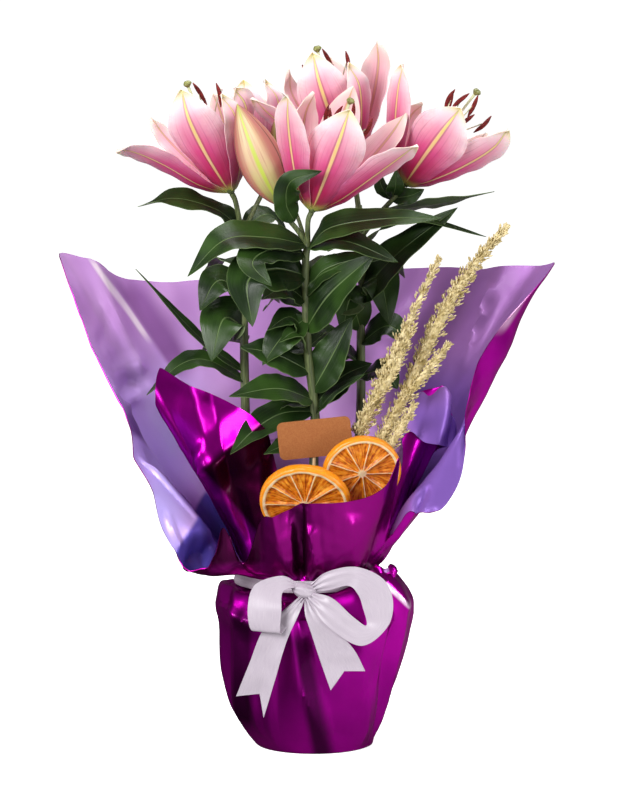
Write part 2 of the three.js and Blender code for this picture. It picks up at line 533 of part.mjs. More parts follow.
// A leafy stem: the stem, its leaves, and the stalks of its blooms and buds, grown together.
function leafyStem(name, leaves) {
  const stem = rod(STEM_LINES[name], [STEM.foot, STEM.foot, STEM.top], 6, 9);
  const blades = leaves.map((leaf) => blade({ thick: BLADE.leaf, outline: lanceolate, rows: leaf.width > 18 ? 5 : 4, columns: 2, ...leaf }));
  const stalks = STALKS[name].map(({ line, to, radius }) => rod(stalkLine(line, to), [radius, radius * 0.9, radius], 5, 4));
  return largest(union([stem, ...blades, ...stalks]));
}

// The line of a stalk: it comes up along the axis of the bloom or bud that it carries, and stops a gap short of it.
function stalkLine(line, { foot, axis, tip }) {
  const along = (axis ? V(...axis) : V(...tip).sub(V(...foot))).normalize();
  const back = (distance) => V(...foot).addScaledVector(along, -distance).toArray();
  return [...line, back(9), back(GAP)];
}

// The directions of a bloom: along its axis, and round it from the front.
function bloomFrame({ foot, axis }) {
  const along = V(...axis).normalize();
  const front = V(0, -1, 0).addScaledVector(along, along.y).normalize();
  const right = along.clone().cross(front);
  const round = (degrees) => front.clone().multiplyScalar(Math.cos(radians(degrees))).addScaledVector(right, Math.sin(radians(degrees)));
  const place = (degrees, radius, height) => V(...foot).addScaledVector(along, height).addScaledVector(round(degrees), radius);
  return { along, round, place };
}

function bloom(spec) {
  const { along, round, place } = bloomFrame(spec);
  const tepals = spec.tepals.map(([angle, out, up, width, turn, arch = 0], k) => {
    const outer = k < 3 ? 0 : 2.6;
    const line = [
      place(angle, 2.5, 1.5),
      place(angle, 10 + outer + out * 0.14, up * 0.19 + arch * 0.4),
      place(angle, 19 + outer + out * 0.3, up * 0.48 + arch),
      place(angle, 19 + outer + out * 0.56, up * 0.78 + arch * 0.8),
      place(angle, out + outer, up),
    ];
    const face = round(angle + turn).multiplyScalar(-1).addScaledVector(along, 0.7);
    const cup = (t) => 1 / (8 + outer + out * 0.3 + 60 * t * t);
    return blade({ line, width, face, thick: BLADE.tepal, outline: tepalOutline, rows: 6, columns: k < 3 ? 4 : 2, cup });
  });
  const heart = rod([place(0, 0, GAP), place(0, 0, 5), place(0, 0, 12)].map((p) => [p.x, p.y, p.z]), [2.6, 5, 6.2], 6, 2);
  return largest(union([heart, ...tepals]));
}

// The six stamens and the pistil, which spring from one small disc in the throat. The ones on the right spread most.
const STAMENS_OUT = [11, 20, 11, 18, 13, 13];
function stamens(spec) {
  const { along, round, place } = bloomFrame(spec);
  const row = (p) => [p.x, p.y, p.z];
  const disc = rod([place(0, 0, 12.4), place(0, 0, 14), place(0, 0, 16)].map(row), [2.0, 2.0], 6, 1);
  const high = 99 * spec.reach;
  const style = rod([place(0, 0, 14), place(0, 0, high * 0.56), place(0, 2, high)].map(row), [1.0, 0.9, 1.3], 3, 2);
  const knob = rod([-1, 2, 4.5].map((h) => row(place(0, 2, high + h))), [1.2, 3.6, 2.2], 4, 2);
  const pieces = [disc, style, knob];
  for (let k = 0; k < 6; k++) {
    const angle = 30 + 60 * k;
    const out = STAMENS_OUT[k];
    const end = (76 + 6 * (k % 3)) * spec.reach;
    const filament = [place(angle, 1.2, 14), place(angle, 4, 52 * spec.reach), place(angle, out, end)];
    pieces.push(rod(filament.map(row), [0.7, 0.6, 0.6], 3, 2));
    const lie = along.clone().multiplyScalar(0.93).addScaledVector(round(angle + 60), 0.36).setLength(10);
    const middle = place(angle, out + 0.8, end);
    const anther = [-1, 0, 1].map((s) => row(middle.clone().addScaledVector(lie, s)));
    pieces.push(rod(anther, [0.7, 2.3, 0.7], 3, 2));
  }
  return largest(union(pieces));
}

// A closed bud: a spindle with three shallow seams.
function bud({ foot, tip, radius }) {
  const [sides, rings] = [12, 9];
  const start = V(...foot);
  const axis = V(...tip).sub(start);
  const { round } = bloomFrame({ foot, axis: [axis.x, axis.y, axis.z] });
  const vertices = [];
  const triangles = [];
  for (let row = 1; row < rings; row++) {
    const t = row / rings;
    const body = radius * Math.max(Math.sin(Math.PI * t ** 0.85) ** 0.85, 0.14);
    for (let k = 0; k < sides; k++) {
      const angle = (360 * k) / sides;
      const seam = 1 - 0.07 * (1 + Math.cos(radians(3 * angle + 30))) ** 2 * 0.5;
      vertices.push(start.clone().addScaledVector(axis, t).addScaledVector(round(angle), body * seam));
    }
  }
  const last = rings - 2;
  const bottom = vertices.push(start.clone()) - 1;
  const top = vertices.push(V(...tip)) - 1;
  for (let k = 0; k < sides; k++) {
    const next = (k + 1) % sides;
    triangles.push([bottom, next, k], [top, last * sides + k, last * sides + next]);
    for (let row = 0; row < last; row++) {
      const [a, b, c, d] = [row * sides + k, row * sides + next, (row + 1) * sides + next, (row + 1) * sides + k];
      triangles.push([a, b, c], [a, c, d]);
    }
  }
  return solid(vertices, triangles);
}

// Dried amaranth: a stalk that carries spikes, each a slim core with pointed florets standing out of it.
const SPIKES = {
  amaranth_left: {
    stalk: [[12, -34, 100], [18, -32, 150], [30, -27, 230], [38, -28, 276]],
    heads: [
      { line: [[37, -28, 270], [54, -29, 308], [70, -31, 346], [104, -34, 420]], radius: 6.6, florets: 9 },
      { line: [[44, -29, 288], [66, -38, 326], [83, -41, 364]], radius: 4.6, florets: 5 },
    ],
  },
  amaranth_right: {
    stalk: [[34, -4, 100], [33, -6, 150], [42, -18, 210], [52, -27, 262]],
    heads: [
      { line: [[51, -26, 256], [74, -25, 299], [106, -24, 367], [131, -22, 409], [161, -20, 445]], radius: 7, florets: 10 },
      { line: [[72, -27, 296], [94, -36, 324], [112, -38, 348]], radius: 4.8, florets: 5 },
      { line: [[76, -25, 305], [88, -15, 333], [99, -14, 367]], radius: 4, florets: 4 },
    ],
  },
  amaranth_short: {
    stalk: [[27, -24, 100], [28, -26, 150], [44, -31, 215], [58, -35, 252]],
    heads: [{ line: [[56, -34, 246], [71, -38, 275], [84, -42, 298]], radius: 5, florets: 5 }],
  },
};
const GOLDEN_ANGLE = 137.5;
function floret(curve, t, turn, radius, size) {
  const along = curve.getTangent(t);
  const side = V(0, 1, 0).cross(along).normalize();
  const up = along.clone().cross(side);
  const out = side.clone().multiplyScalar(Math.cos(turn)).addScaledVector(up, Math.sin(turn));
  const across = along.clone().cross(out);
  const foot = curve.getPoint(t).addScaledVector(out, radius * 0.35);
  const tip = foot.clone().addScaledVector(out, size * 0.85).addScaledVector(along, size * 1.5);
  const middle = foot.clone().lerp(tip, 0.45);
  const ring = [
    middle.clone().addScaledVector(across, size * 0.5),
    middle.clone().addScaledVector(out, size * 0.45).addScaledVector(along, -size * 0.3),
    middle.clone().addScaledVector(across, -size * 0.5),
  ];
  const vertices = [foot, ...ring, tip];
  return solid(vertices, [[0, 1, 2], [0, 2, 3], [0, 3, 1], [4, 2, 1], [4, 3, 2], [4, 1, 3]]);
}
function amaranth({ stalk, heads }) {
  const pieces = [rod(stalk, [1.4, 1.4, 1.6], 5, 6)];
  for (const { line, radius, florets } of heads) {
    pieces.push(rod(line, [radius * 0.45, radius * 0.62, radius * 0.6, radius * 0.4, radius * 0.16], 5, 4));
    const curve = smooth(line);
    for (let k = 0; k < florets; k++) {
      const t = 0.03 + (0.94 * k) / florets;
      const thinning = t < 0.6 ? 1 : lerp(1, 0.45, (t - 0.6) / 0.4);
      pieces.push(floret(curve, t, radians(GOLDEN_ANGLE * k), radius * 0.6 * thinning, radius * thinning));
    }
  }
  return largest(union(pieces));
}

// Dried orange slices, leaning forwards on picks.
const SLICES = {
  front: { centre: [-8, -64, 218], radius: 38, thick: 9, lean: 30, turn: -6, pick: [-0.25, 0.5, -0.866], wedges: 10 },
  back: { centre: [39, -54, 242], radius: 33, thick: 8, lean: 20, turn: 8, pick: [-0.22, 0.342, -0.94], wedges: 9 },
};
// A slice lies in its own X-Z plane, with its cut faces to the front and the back.
function slicePlace({ centre, lean, turn }) {
  const place = new THREE.Matrix4().makeTranslation(...centre);
  place.multiply(new THREE.Matrix4().makeRotationZ(radians(turn)));
  return place.multiply(new THREE.Matrix4().makeRotationX(radians(lean)));
}
function pickLine({ centre, radius, lean, pick }) {
  const down = V(...pick).normalize();
  const rim = V(...centre).add(V(0, Math.sin(radians(lean)), -Math.cos(radians(lean))).setLength(radius));
  const top = rim.clone().addScaledVector(down, -16);
  const foot = rim.clone().addScaledVector(down, (100 - rim.z) / down.z);
  return [top, foot];
}
function stick(top, foot, radius, extra = 0) {
  return rod([top, foot].map((p) => [p.x, p.y, p.z]), [radius + extra, radius + extra], 8, 1);
}
function orangeSlice(spec) {
  const { radius, thick, wedges } = spec;
  const half = thick / 2;
  const disc = upright(
    [[0, -half], [radius - 1.5, -half], [radius, -half + 1.5], [radius, half - 1.5], [radius - 1.5, half], [0, half]], 20,
  );
  let body = fromGeometry(disc.rotateX(Math.PI / 2));
  for (let k = 0; k < wedges; k++) {
    const angle = (k + 0.5) * (360 / wedges);
    const spread = 180 / wedges - 4;
    const corners = [[0.16, 0], [0.84, -spread], [0.84, spread]];
    const outline = corners.map(([far, off]) => {
      const turn = radians(angle + off);
      return new THREE.Vector2(far * radius * Math.cos(turn), far * radius * Math.sin(turn));
    });
    for (const face of [-1, 1]) {
      const pocket = new THREE.ExtrudeGeometry(new THREE.Shape(outline), { depth: 2, bevelEnabled: false });
      pocket.translate(0, 0, face * half - 1).rotateX(Math.PI / 2);
      body = body.subtract(fromGeometry(pocket));
    }
  }
  const placed = body.transform(slicePlace(spec).elements);
  const [top, foot] = pickLine(spec);
  return placed.subtract(stick(top.clone().addScaledVector(top.clone().sub(foot).normalize(), GAP), foot, PICK, GAP));
}

// The kraft card and its pick.
const CARD_AT = V(0, -38, 268);
function card() {
  const { width, height, corner, thick, tilt } = CARD;
  const [w, h] = [width / 2, height / 2];
  const shape = new THREE.Shape();
  shape.moveTo(-w + corner, -h).lineTo(w - corner, -h).absarc(w - corner, -h + corner, corner, -Math.PI / 2, 0);
  shape.lineTo(w, h - corner).absarc(w - corner, h - corner, corner, 0, Math.PI / 2);
  shape.lineTo(-w + corner, h).absarc(-w + corner, h - corner, corner, Math.PI / 2, Math.PI);
  shape.lineTo(-w, -h + corner).absarc(-w + corner, -h + corner, corner, Math.PI, 1.5 * Math.PI);
  const plate = new THREE.ExtrudeGeometry(shape, { depth: thick, bevelEnabled: false, curveSegments: 3 });
  plate.rotateZ(radians(tilt)).rotateX(Math.PI / 2).translate(CARD_AT.x, CARD_AT.y + thick / 2, CARD_AT.z);
  return fromGeometry(plate);
}
function cardPick() {
  const y = CARD_AT.y + CARD.thick / 2 + GAP + PICK;
  return stick(V(0, y, CARD_AT.z + 10), V(-4, y, 100), PICK);
}

// The ribbon: a band round the neck and a bow of a knot, two loops and two tails. A strip is spanned between
// the lines of its two edges.
function strip(edgeA, edgeB, steps) {
  const a = smooth(edgeA);
  const b = smooth(edgeB);
  const vertices = [];
  const triangles = [];
  for (let row = 0; row <= steps; row++) {
    const t = row / steps;
    const [p, q] = [a.getPoint(t), b.getPoint(t)];
    const along = a.getTangent(t).add(b.getTangent(t)).normalize();
    const normal = q.clone().sub(p).cross(along).setLength(RIBBON.thick / 2);
    vertices.push(p.clone().add(normal), q.clone().add(normal), q.clone().sub(normal), p.clone().sub(normal));
    if (row > 0) {
      const [e, f] = [4 * (row - 1), 4 * row];
      for (let k = 0; k < 4; k++) {
        const next = (k + 1) % 4;
        triangles.push([e + k, e + next, f + next], [e + k, f + next, f + k]);
      }
    }
  }
  const end = 4 * steps;
  triangles.push([0, 2, 1], [0, 3, 2], [end, end + 1, end + 2], [end, end + 2, end + 3]);
  const whole = solid(vertices, triangles);
  if (whole.volume() > 0) return whole;
  return solid(vertices, triangles.map(([x, y, z]) => [x, z, y]));
}
function ribbonBand() {
  const inner = NECK.radius + NECK.pleat + FILM / 2 + GAP + 0.3;
  const h = RIBBON.gathered / 2;
  const profile = [[inner, -h], [inner + 1.6, -h], [inner + 1.6, h], [inner, h], [inner, -h]];
  return fromGeometry(upright(profile, 26).translate(NECK.x, 0, NECK.z));
}
const BOW = {
  knot: [[-9, -61.4, 145], [-9, -72, 145], [-9, -82, 145], [-9, -90, 143]],
  leftLoop: [
    [[-12, -80, 150], [-28, -86, 159], [-50, -90, 152], [-56, -96, 134], [-53, -97, 115], [-42, -88, 118], [-13, -84, 140]],
    [[-11.5, -80.5, 144], [-17, -87, 149], [-27, -92, 146], [-28, -98, 131], [-29, -98, 113], [-22, -89, 118], [-11, -85, 134]],
  ],
  rightLoop: [
    [
      [-3, -80, 151], [10, -84, 162], [34, -88, 167], [57, -91, 157], [65, -93, 138],
      [60, -96, 117], [38, -98, 102], [10, -97, 119], [-6, -86, 139],
    ],
    [
      [-2, -80, 145], [12, -84, 147], [28, -88, 151], [36, -91, 144], [40, -92, 133],
      [43, -95, 119], [32, -97, 126], [14, -96, 142], [-3, -86, 145],
    ],
  ],
  leftTail: [
    [[-12, -84, 142], [-30, -88, 126], [-44, -89, 112], [-54, -88, 85], [-64, -86, 57]],
    [[-9, -85, 138], [-14, -90, 126], [-24, -91, 104], [-34, -90, 72], [-44, -88, 41]],
  ],
  rightTail: [
    [[-9, -84, 138], [-8, -91, 126], [-3, -92, 112], [5, -92, 90], [15, -91, 65]],
    [[-6, -84, 141], [6, -90, 128], [20, -92, 112], [32, -92, 97], [40, -90, 79]],
  ],
};
// The swallow tail that is cut into the end of a tail: its two corners and its deepest point.
const NOTCHES = [
  [[-66, 57], [-46.5, 59], [-43, 39]],
  [[13, 63], [24.5, 79], [42, 79]],
];
function ribbonBow() {
  const knot = rod(BOW.knot, [3.4, 5, 9, 6], 7, 4);
  const loops = [BOW.leftLoop, BOW.rightLoop].map(([a, b]) => strip(a, b, 11));
  const tails = [BOW.leftTail, BOW.rightTail].map(([a, b]) => strip(a, b, 5));
  const cuts = NOTCHES.map((corners) => {
    const outline = new THREE.Shape(corners.map(([x, z]) => new THREE.Vector2(x, z)));
    const wedge = new THREE.ExtrudeGeometry(outline, { depth: 60, bevelEnabled: false });
    return fromGeometry(wedge.rotateX(Math.PI / 2).translate(0, -60, 0));
  });
  return largest(union([knot, ...loops, ...tails.map((tail) => subtract(tail, cuts))]));
}

// The finished pieces.
const COLOURS = {
  film: ["#8a1a80", 0.35], inner: ["#a3259b", 0.35], ribbon: ["#efe6ee", 0.5], pot: ["#3a3836", 0.6],
  soil: ["#3b2a1e", 0.95], bulb: ["#d9cfa8", 0.7], leaf: ["#2f4a22", 0.5], tepal: ["#e28aa8", 0.5],
  stamens: ["#7a2a1c", 0.7], bud: ["#a3b060", 0.5], amaranth: ["#d3cf8e", 0.9], orange: ["#e08a1e", 0.6],
  card: ["#b9814f", 0.9], pick: ["#c9a878", 0.8],
};
const part = new THREE.Group();
function add(name, shape, [colour, roughness]) {
  const mesh = new THREE.Mesh(toGeometry(shape), new THREE.MeshStandardMaterial({ color: colour, roughness, metalness: 0 }));
  mesh.name = name;
  part.add(mesh);
}

const bulbPlaces = { front: [0, -24], left: [-30, 16], right: [30, 16] };
const slicePicks = Object.values(SLICES).map(pickLine);
const soilHoles = [
  ...Object.values(bulbPlaces).map(([x, y]) => bulbHollow(x, y)),
  ...Object.values(STEM_LINES).map((line) => rod([lowered(line[0]), ...line.slice(1, 3)], [5.2, 5.2], 6, 3)),
  ...slicePicks.map(([top, foot]) => stick(top, foot.clone().lerp(top, -0.01), PICK, GAP + 0.2)),
  ...Object.values(SPIKES).map(({ stalk }) => rod([lowered(stalk[0]), ...stalk.slice(1, 3)], [2.3, 2.3], 6, 3)),
  stick(V(0, CARD_AT.y + CARD.thick / 2 + GAP + PICK, CARD_AT.z), V(-4.1, CARD_AT.y + CARD.thick / 2 + GAP + PICK, 99), PICK, GAP + 0.2),
];
function lowered([x, y, z]) {
  return [x, y, z - 3];
}

add("pot", pot(), COLOURS.pot);
add("soil", soil(soilHoles), COLOURS.soil);
for (const [name, [x, y]] of Object.entries(bulbPlaces)) add(`bulb_${name}`, bulb(x, y), COLOURS.bulb);
add("leafy_stem_front", leafyStem("front", FRONT_LEAVES), COLOURS.leaf);
add("leafy_stem_left", leafyStem("left", LEFT_LEAVES), COLOURS.leaf);
add("leafy_stem_right", leafyStem("right", RIGHT_LEAVES), COLOURS.leaf);
BLOOMS.forEach((spec, k) => {
  add(`bloom_${k + 1}`, bloom(spec), COLOURS.tepal);
  add(`stamens_${k + 1}`, stamens(spec), COLOURS.stamens);
});
for (const [name, spec] of Object.entries(BUDS)) add(name, bud(spec), COLOURS.bud);
for (const [name, spec] of Object.entries(SPIKES)) add(name, amaranth(spec), COLOURS.amaranth);
for (const [name, spec] of Object.entries(SLICES)) {
  add(`orange_slice_${name}`, orangeSlice(spec), COLOURS.orange);
  add(`orange_pick_${name}`, stick(...pickLine(spec), PICK), COLOURS.pick);
}
add("kraft_card", card(), COLOURS.card);
add("card_pick", cardPick(), COLOURS.pick);
add("film_outer", outerFilm(), COLOURS.film);
add("film_inner", innerFilm(), COLOURS.inner);
add("ribbon_band", ribbonBand(), COLOURS.ribbon);
add("ribbon_bow", ribbonBow(), COLOURS.ribbon);

export default part;
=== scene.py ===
# A potted lily in florist's wrapping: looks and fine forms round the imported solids.
# Lengths are in millimetres, in the part's own frame: +Z up, +X to the right of the front, +Y to the back.

import math
import random

import bpy
import numpy as np
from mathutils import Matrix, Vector, noise


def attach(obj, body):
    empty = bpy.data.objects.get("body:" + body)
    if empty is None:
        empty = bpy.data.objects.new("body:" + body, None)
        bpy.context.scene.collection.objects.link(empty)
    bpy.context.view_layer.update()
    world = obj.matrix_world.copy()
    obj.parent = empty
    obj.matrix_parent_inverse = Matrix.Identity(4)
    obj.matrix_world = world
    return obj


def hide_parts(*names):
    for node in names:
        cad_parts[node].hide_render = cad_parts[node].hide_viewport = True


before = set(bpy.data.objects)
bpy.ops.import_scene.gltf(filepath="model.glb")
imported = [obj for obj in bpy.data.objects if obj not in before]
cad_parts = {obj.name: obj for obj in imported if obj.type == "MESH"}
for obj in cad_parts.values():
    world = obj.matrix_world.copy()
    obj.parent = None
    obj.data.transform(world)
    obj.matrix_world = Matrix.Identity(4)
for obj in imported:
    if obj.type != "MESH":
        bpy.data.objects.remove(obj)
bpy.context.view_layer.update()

MM = 0.001
GAP = 0.3
FILM = 0.8
BODY = "root"
rng = random.Random(7)


# Numbers, lines and directions.

def held(x):
    """Kept from 0 to 1."""
    return np.clip(x, 0, 1)


def cos_of(degrees):
    return np.cos(np.radians(degrees))


def sin_of(degrees):
    return np.sin(np.radians(degrees))


def shares(steps):
    return np.linspace(0, 1, steps + 1)


def unit(v):
    return v / np.maximum(np.linalg.norm(v, axis=-1, keepdims=True), 1e-9)


def between_points(a, b, c, d, w):
    """The smooth line from b to c, where a comes before them and d after them, at the share w."""
    leaving, arriving = (c - a) / 2, (d - b) / 2
    return (b + leaving * w + (3 * (c - b) - 2 * leaving - arriving) * w**2
            + (2 * (b - c) + leaving + arriving) * w**3)


def along(points, ts):
    """Places on the smooth line through the points, for shares ts of it."""
    p = np.array(points, float)
    p = np.vstack([2 * p[0] - p[1], p, 2 * p[-1] - p[-2]])
    at = held(np.asarray(ts, float)) * (len(points) - 1)
    k = np.minimum(at.astype(int), len(points) - 2)
    w = (at - k).reshape(-1, *([1] * (p.ndim - 1)))
    return between_points(p[k], p[k + 1], p[k + 2], p[k + 3], w)


def heading(points, ts):
    """The directions of the line at the shares ts."""
    step = 1e-3
    ts = np.asarray(ts, float)
    return unit(along(points, np.minimum(ts + step, 1)) - along(points, np.maximum(ts - step, 0)))


def beside(course):
    """Two directions square to a line's own: to its side, and the third."""
    side = unit(np.cross(np.array([0.0, 1.0, 0.0]), course))
    return side, np.cross(course, side)


def at_angle(x, radius, degrees, z):
    turn = np.radians(degrees)
    return np.stack([x + radius * np.cos(turn), radius * np.sin(turn), z + 0 * turn], axis=-1)


def soft_noise(places, scale, seed=0.0):
    """Smooth noise from about -1 to 1, with bumps of about the scale."""
    flat = np.asarray(places).reshape(-1, 3) / scale
    made = [noise.noise(Vector(p) + Vector((seed, seed * 0.7, seed * 1.3))) for p in flat]
    return np.array(made).reshape(np.asarray(places).shape[:-1]) * 1.6


# Making and finishing pieces.

def object_mode():
    if bpy.context.object and bpy.context.object.mode != "OBJECT":
        bpy.ops.object.mode_set(mode="OBJECT")
    bpy.ops.object.select_all(action="DESELECT")


def pick(*pieces):
    object_mode()
    for piece in pieces:
        piece.select_set(True)
    bpy.context.view_layer.objects.active = pieces[0]


def in_edit_mode(*steps):
    """Takes the steps on all of the piece: each is an operator with its settings."""
    bpy.ops.object.mode_set(mode="EDIT")
    for operator, settings in steps:
        bpy.ops.mesh.select_all(action="SELECT")
        operator(**settings)
    bpy.ops.object.mode_set(mode="OBJECT")


def modifier(piece, kind, **settings):
    """Adds a modifier and applies it."""
    pick(piece)
    bpy.ops.object.modifier_add(type=kind)
    added = piece.modifiers[-1]
    for name, value in settings.items():
        setattr(added, name, value)
    bpy.ops.object.modifier_apply(modifier=added.name)


def cloth_grid(name, places, materials, closed=False):
    """A flat grid, pulled into place: places is rows by columns by three."""
    rows, columns = places.shape[0] - 1, places.shape[1] - 1
    object_mode()
    bpy.ops.mesh.primitive_grid_add(x_subdivisions=columns, y_subdivisions=rows, size=1)
    piece = bpy.context.object
    piece.name = piece.data.name = name
    piece.data.vertices.foreach_set("co", (places * MM).ravel())
    piece.data.update()
    for one in materials:
        piece.data.materials.append(one)
    if closed:
        in_edit_mode((bpy.ops.mesh.remove_doubles, {"threshold": 1e-6}))
    return piece


def thicken(piece, thickness):
    """Gives a sheet its thickness: the back takes the second material."""
    modifier(piece, "SOLIDIFY", thickness=thickness * MM, offset=0, material_offset=1, use_even_offset=False)


def tube(name, line, radii, sides, steps, finish, shape=None):
    """A round stalk along a line; shape(angle, share) may press its radius out or in."""
    ts = shares(steps)
    centre = along(line, ts)
    side, up = beside(heading(line, ts))
    radius = along([[r] for r in radii], ts)[:, 0]
    turn = np.linspace(0, 2 * math.pi, sides + 1)
    swell = np.ones((len(ts), len(turn)))
    if shape is not None:
        swell = shape(turn[None, :], ts[:, None])
    out = (radius[:, None] * swell)[..., None]
    places = centre[:, None] + out * (np.cos(turn)[None, :, None] * side[:, None]
                                      + np.sin(turn)[None, :, None] * up[:, None])
    piece = cloth_grid(name, places, [finish], closed=True)
    in_edit_mode((bpy.ops.mesh.fill_holes, {"sides": 0}),
                 (bpy.ops.mesh.normals_make_consistent, {"inside": False}))
    return piece


def join(name, pieces):
    pick(*pieces)
    bpy.ops.object.join()
    whole = bpy.context.object
    whole.name = whole.data.name = name
    return whole


def settle(piece, node, angle=60):
    """Shades a finished piece, lets it stand for its node and ride on the body."""
    pick(piece)
    bpy.ops.object.shade_smooth_by_angle(angle=math.radians(angle))
    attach(piece, BODY)
    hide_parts(node)
    return piece


# Materials.

def linear(value):
    return value / 12.92 if value <= 0.04045 else ((value + 0.055) / 1.055) ** 2.4


def colour(code):
    """A colour from a web code such as "a0508c"."""
    return (*(linear(int(code[k:k + 2], 16) / 255) for k in (0, 2, 4)), 1.0)


def wire(owner, kind, inputs=(), **settings):
    """A new node of a material or a world, with numbers or what comes out of other nodes on its inputs."""
    new = owner.node_tree.nodes.new("ShaderNode" + kind)
    for name, value in settings.items():
        setattr(new, name, value)
    for key, value in inputs.items() if isinstance(inputs, dict) else enumerate(inputs):
        if isinstance(value, Share):
            value = value.socket
        if isinstance(value, bpy.types.NodeSocket):
            owner.node_tree.links.new(value, new.inputs[key])
        else:
            new.inputs[key].default_value = value
    return new


class Share:
    """A number that comes out of a node, so that finishes can be written as plain sums."""

    def __init__(self, owner, socket):
        self.owner, self.socket = owner, socket

    def math(self, operation, a, b=0.0):
        return Share(self.owner, wire(self.owner, "Math", [a, b], operation=operation).outputs[0])

    def __add__(self, other):
        return self.math("ADD", self, other)

    def __sub__(self, other):
        return self.math("SUBTRACT", self, other)

    def __rsub__(self, other):
        return self.math("SUBTRACT", other, self)

    def __mul__(self, other):
        return self.math("MULTIPLY", self, other)

    def __rtruediv__(self, other):
        return self.math("DIVIDE", other, self)

    def __abs__(self):
        return self.math("ABSOLUTE", self)

    def fraction(self):
        return self.math("FRACT", self)

    def or_more(self, other):
        return self.math("MAXIMUM", self, other)

    def between(self, low, high, kind="SMOOTHSTEP"):
        """0 where the number is low, 1 where it is high."""
        inputs = {"Value": self, "From Min": low, "From Max": high}
        made = wire(self.owner, "MapRange", inputs, interpolation_type=kind)
        return Share(self.owner, made.outputs["Result"])


class Finish:
    """A material in the making."""

    def __init__(self, name, **sockets):
        self.made = bpy.data.materials.new(name)
        self.made.use_nodes = True
        self.shader = self.made.node_tree.nodes["Principled BSDF"]
        for socket, value in sockets.items():
            self.shader.inputs[socket.replace("_", " ")].default_value = value

    def wire(self, kind, inputs=(), **settings):
        return wire(self.made, kind, inputs, **settings)

    def place(self):
        return self.wire("TexCoord").outputs["Object"]

    def map_shares(self):
        """The shares across and up the piece's own map."""
        parts = self.wire("SeparateXYZ", [self.wire("UVMap", uv_map="UVMap").outputs[0]])
        return Share(self.made, parts.outputs[0]), Share(self.made, parts.outputs[1])

    def grain(self, where, scale, detail):
        inputs = {"Vector": where, "Scale": scale, "Detail": detail}
        return Share(self.made, self.wire("TexNoise", inputs).outputs["Fac"])

    def stretched(self, where, scale):
        return self.wire("Mapping", {"Vector": where, "Scale": scale}).outputs[0]

    def streaks(self, across, up, detail=2.0):
        """A grain drawn out along the piece's own map."""
        return self.grain(self.stretched(self.wire("UVMap").outputs[0], (across, up, 1)), 1.0, detail)

    def mix(self, share, a, b):
        """From colour a to colour b; either may be a web code."""
        a, b = (colour(one) if isinstance(one, str) else one for one in (a, b))
        return self.wire("Mix", {0: share, 6: a, 7: b}, data_type="RGBA").outputs[2]

    def ramp(self, value, *stops):
        """Blends through colours: stops are pairs of a share and a web code."""
        new = self.wire("ValToRGB", [value])
        band = new.color_ramp
        while len(band.elements) < len(stops):
            band.elements.new(0.5)
        for element, (share, code) in zip(band.elements, stops):
            element.position = share
            element.color = colour(code)
        return new.outputs["Color"]

    def into(self, socket, output):
        self.made.node_tree.links.new(getattr(output, "socket", output), self.shader.inputs[socket])

    def done(self, base, height=None, distance=0.0, strength=0.0):
        """The material in its base colour, with bump as deep as the distance."""
        self.into("Base Color", base)
        if height:
            inputs = {"Height": height, "Distance": distance * MM, "Strength": strength}
            self.into("Normal", self.wire("Bump", inputs).outputs[0])
        return self.made


# The tables of the CAD part.

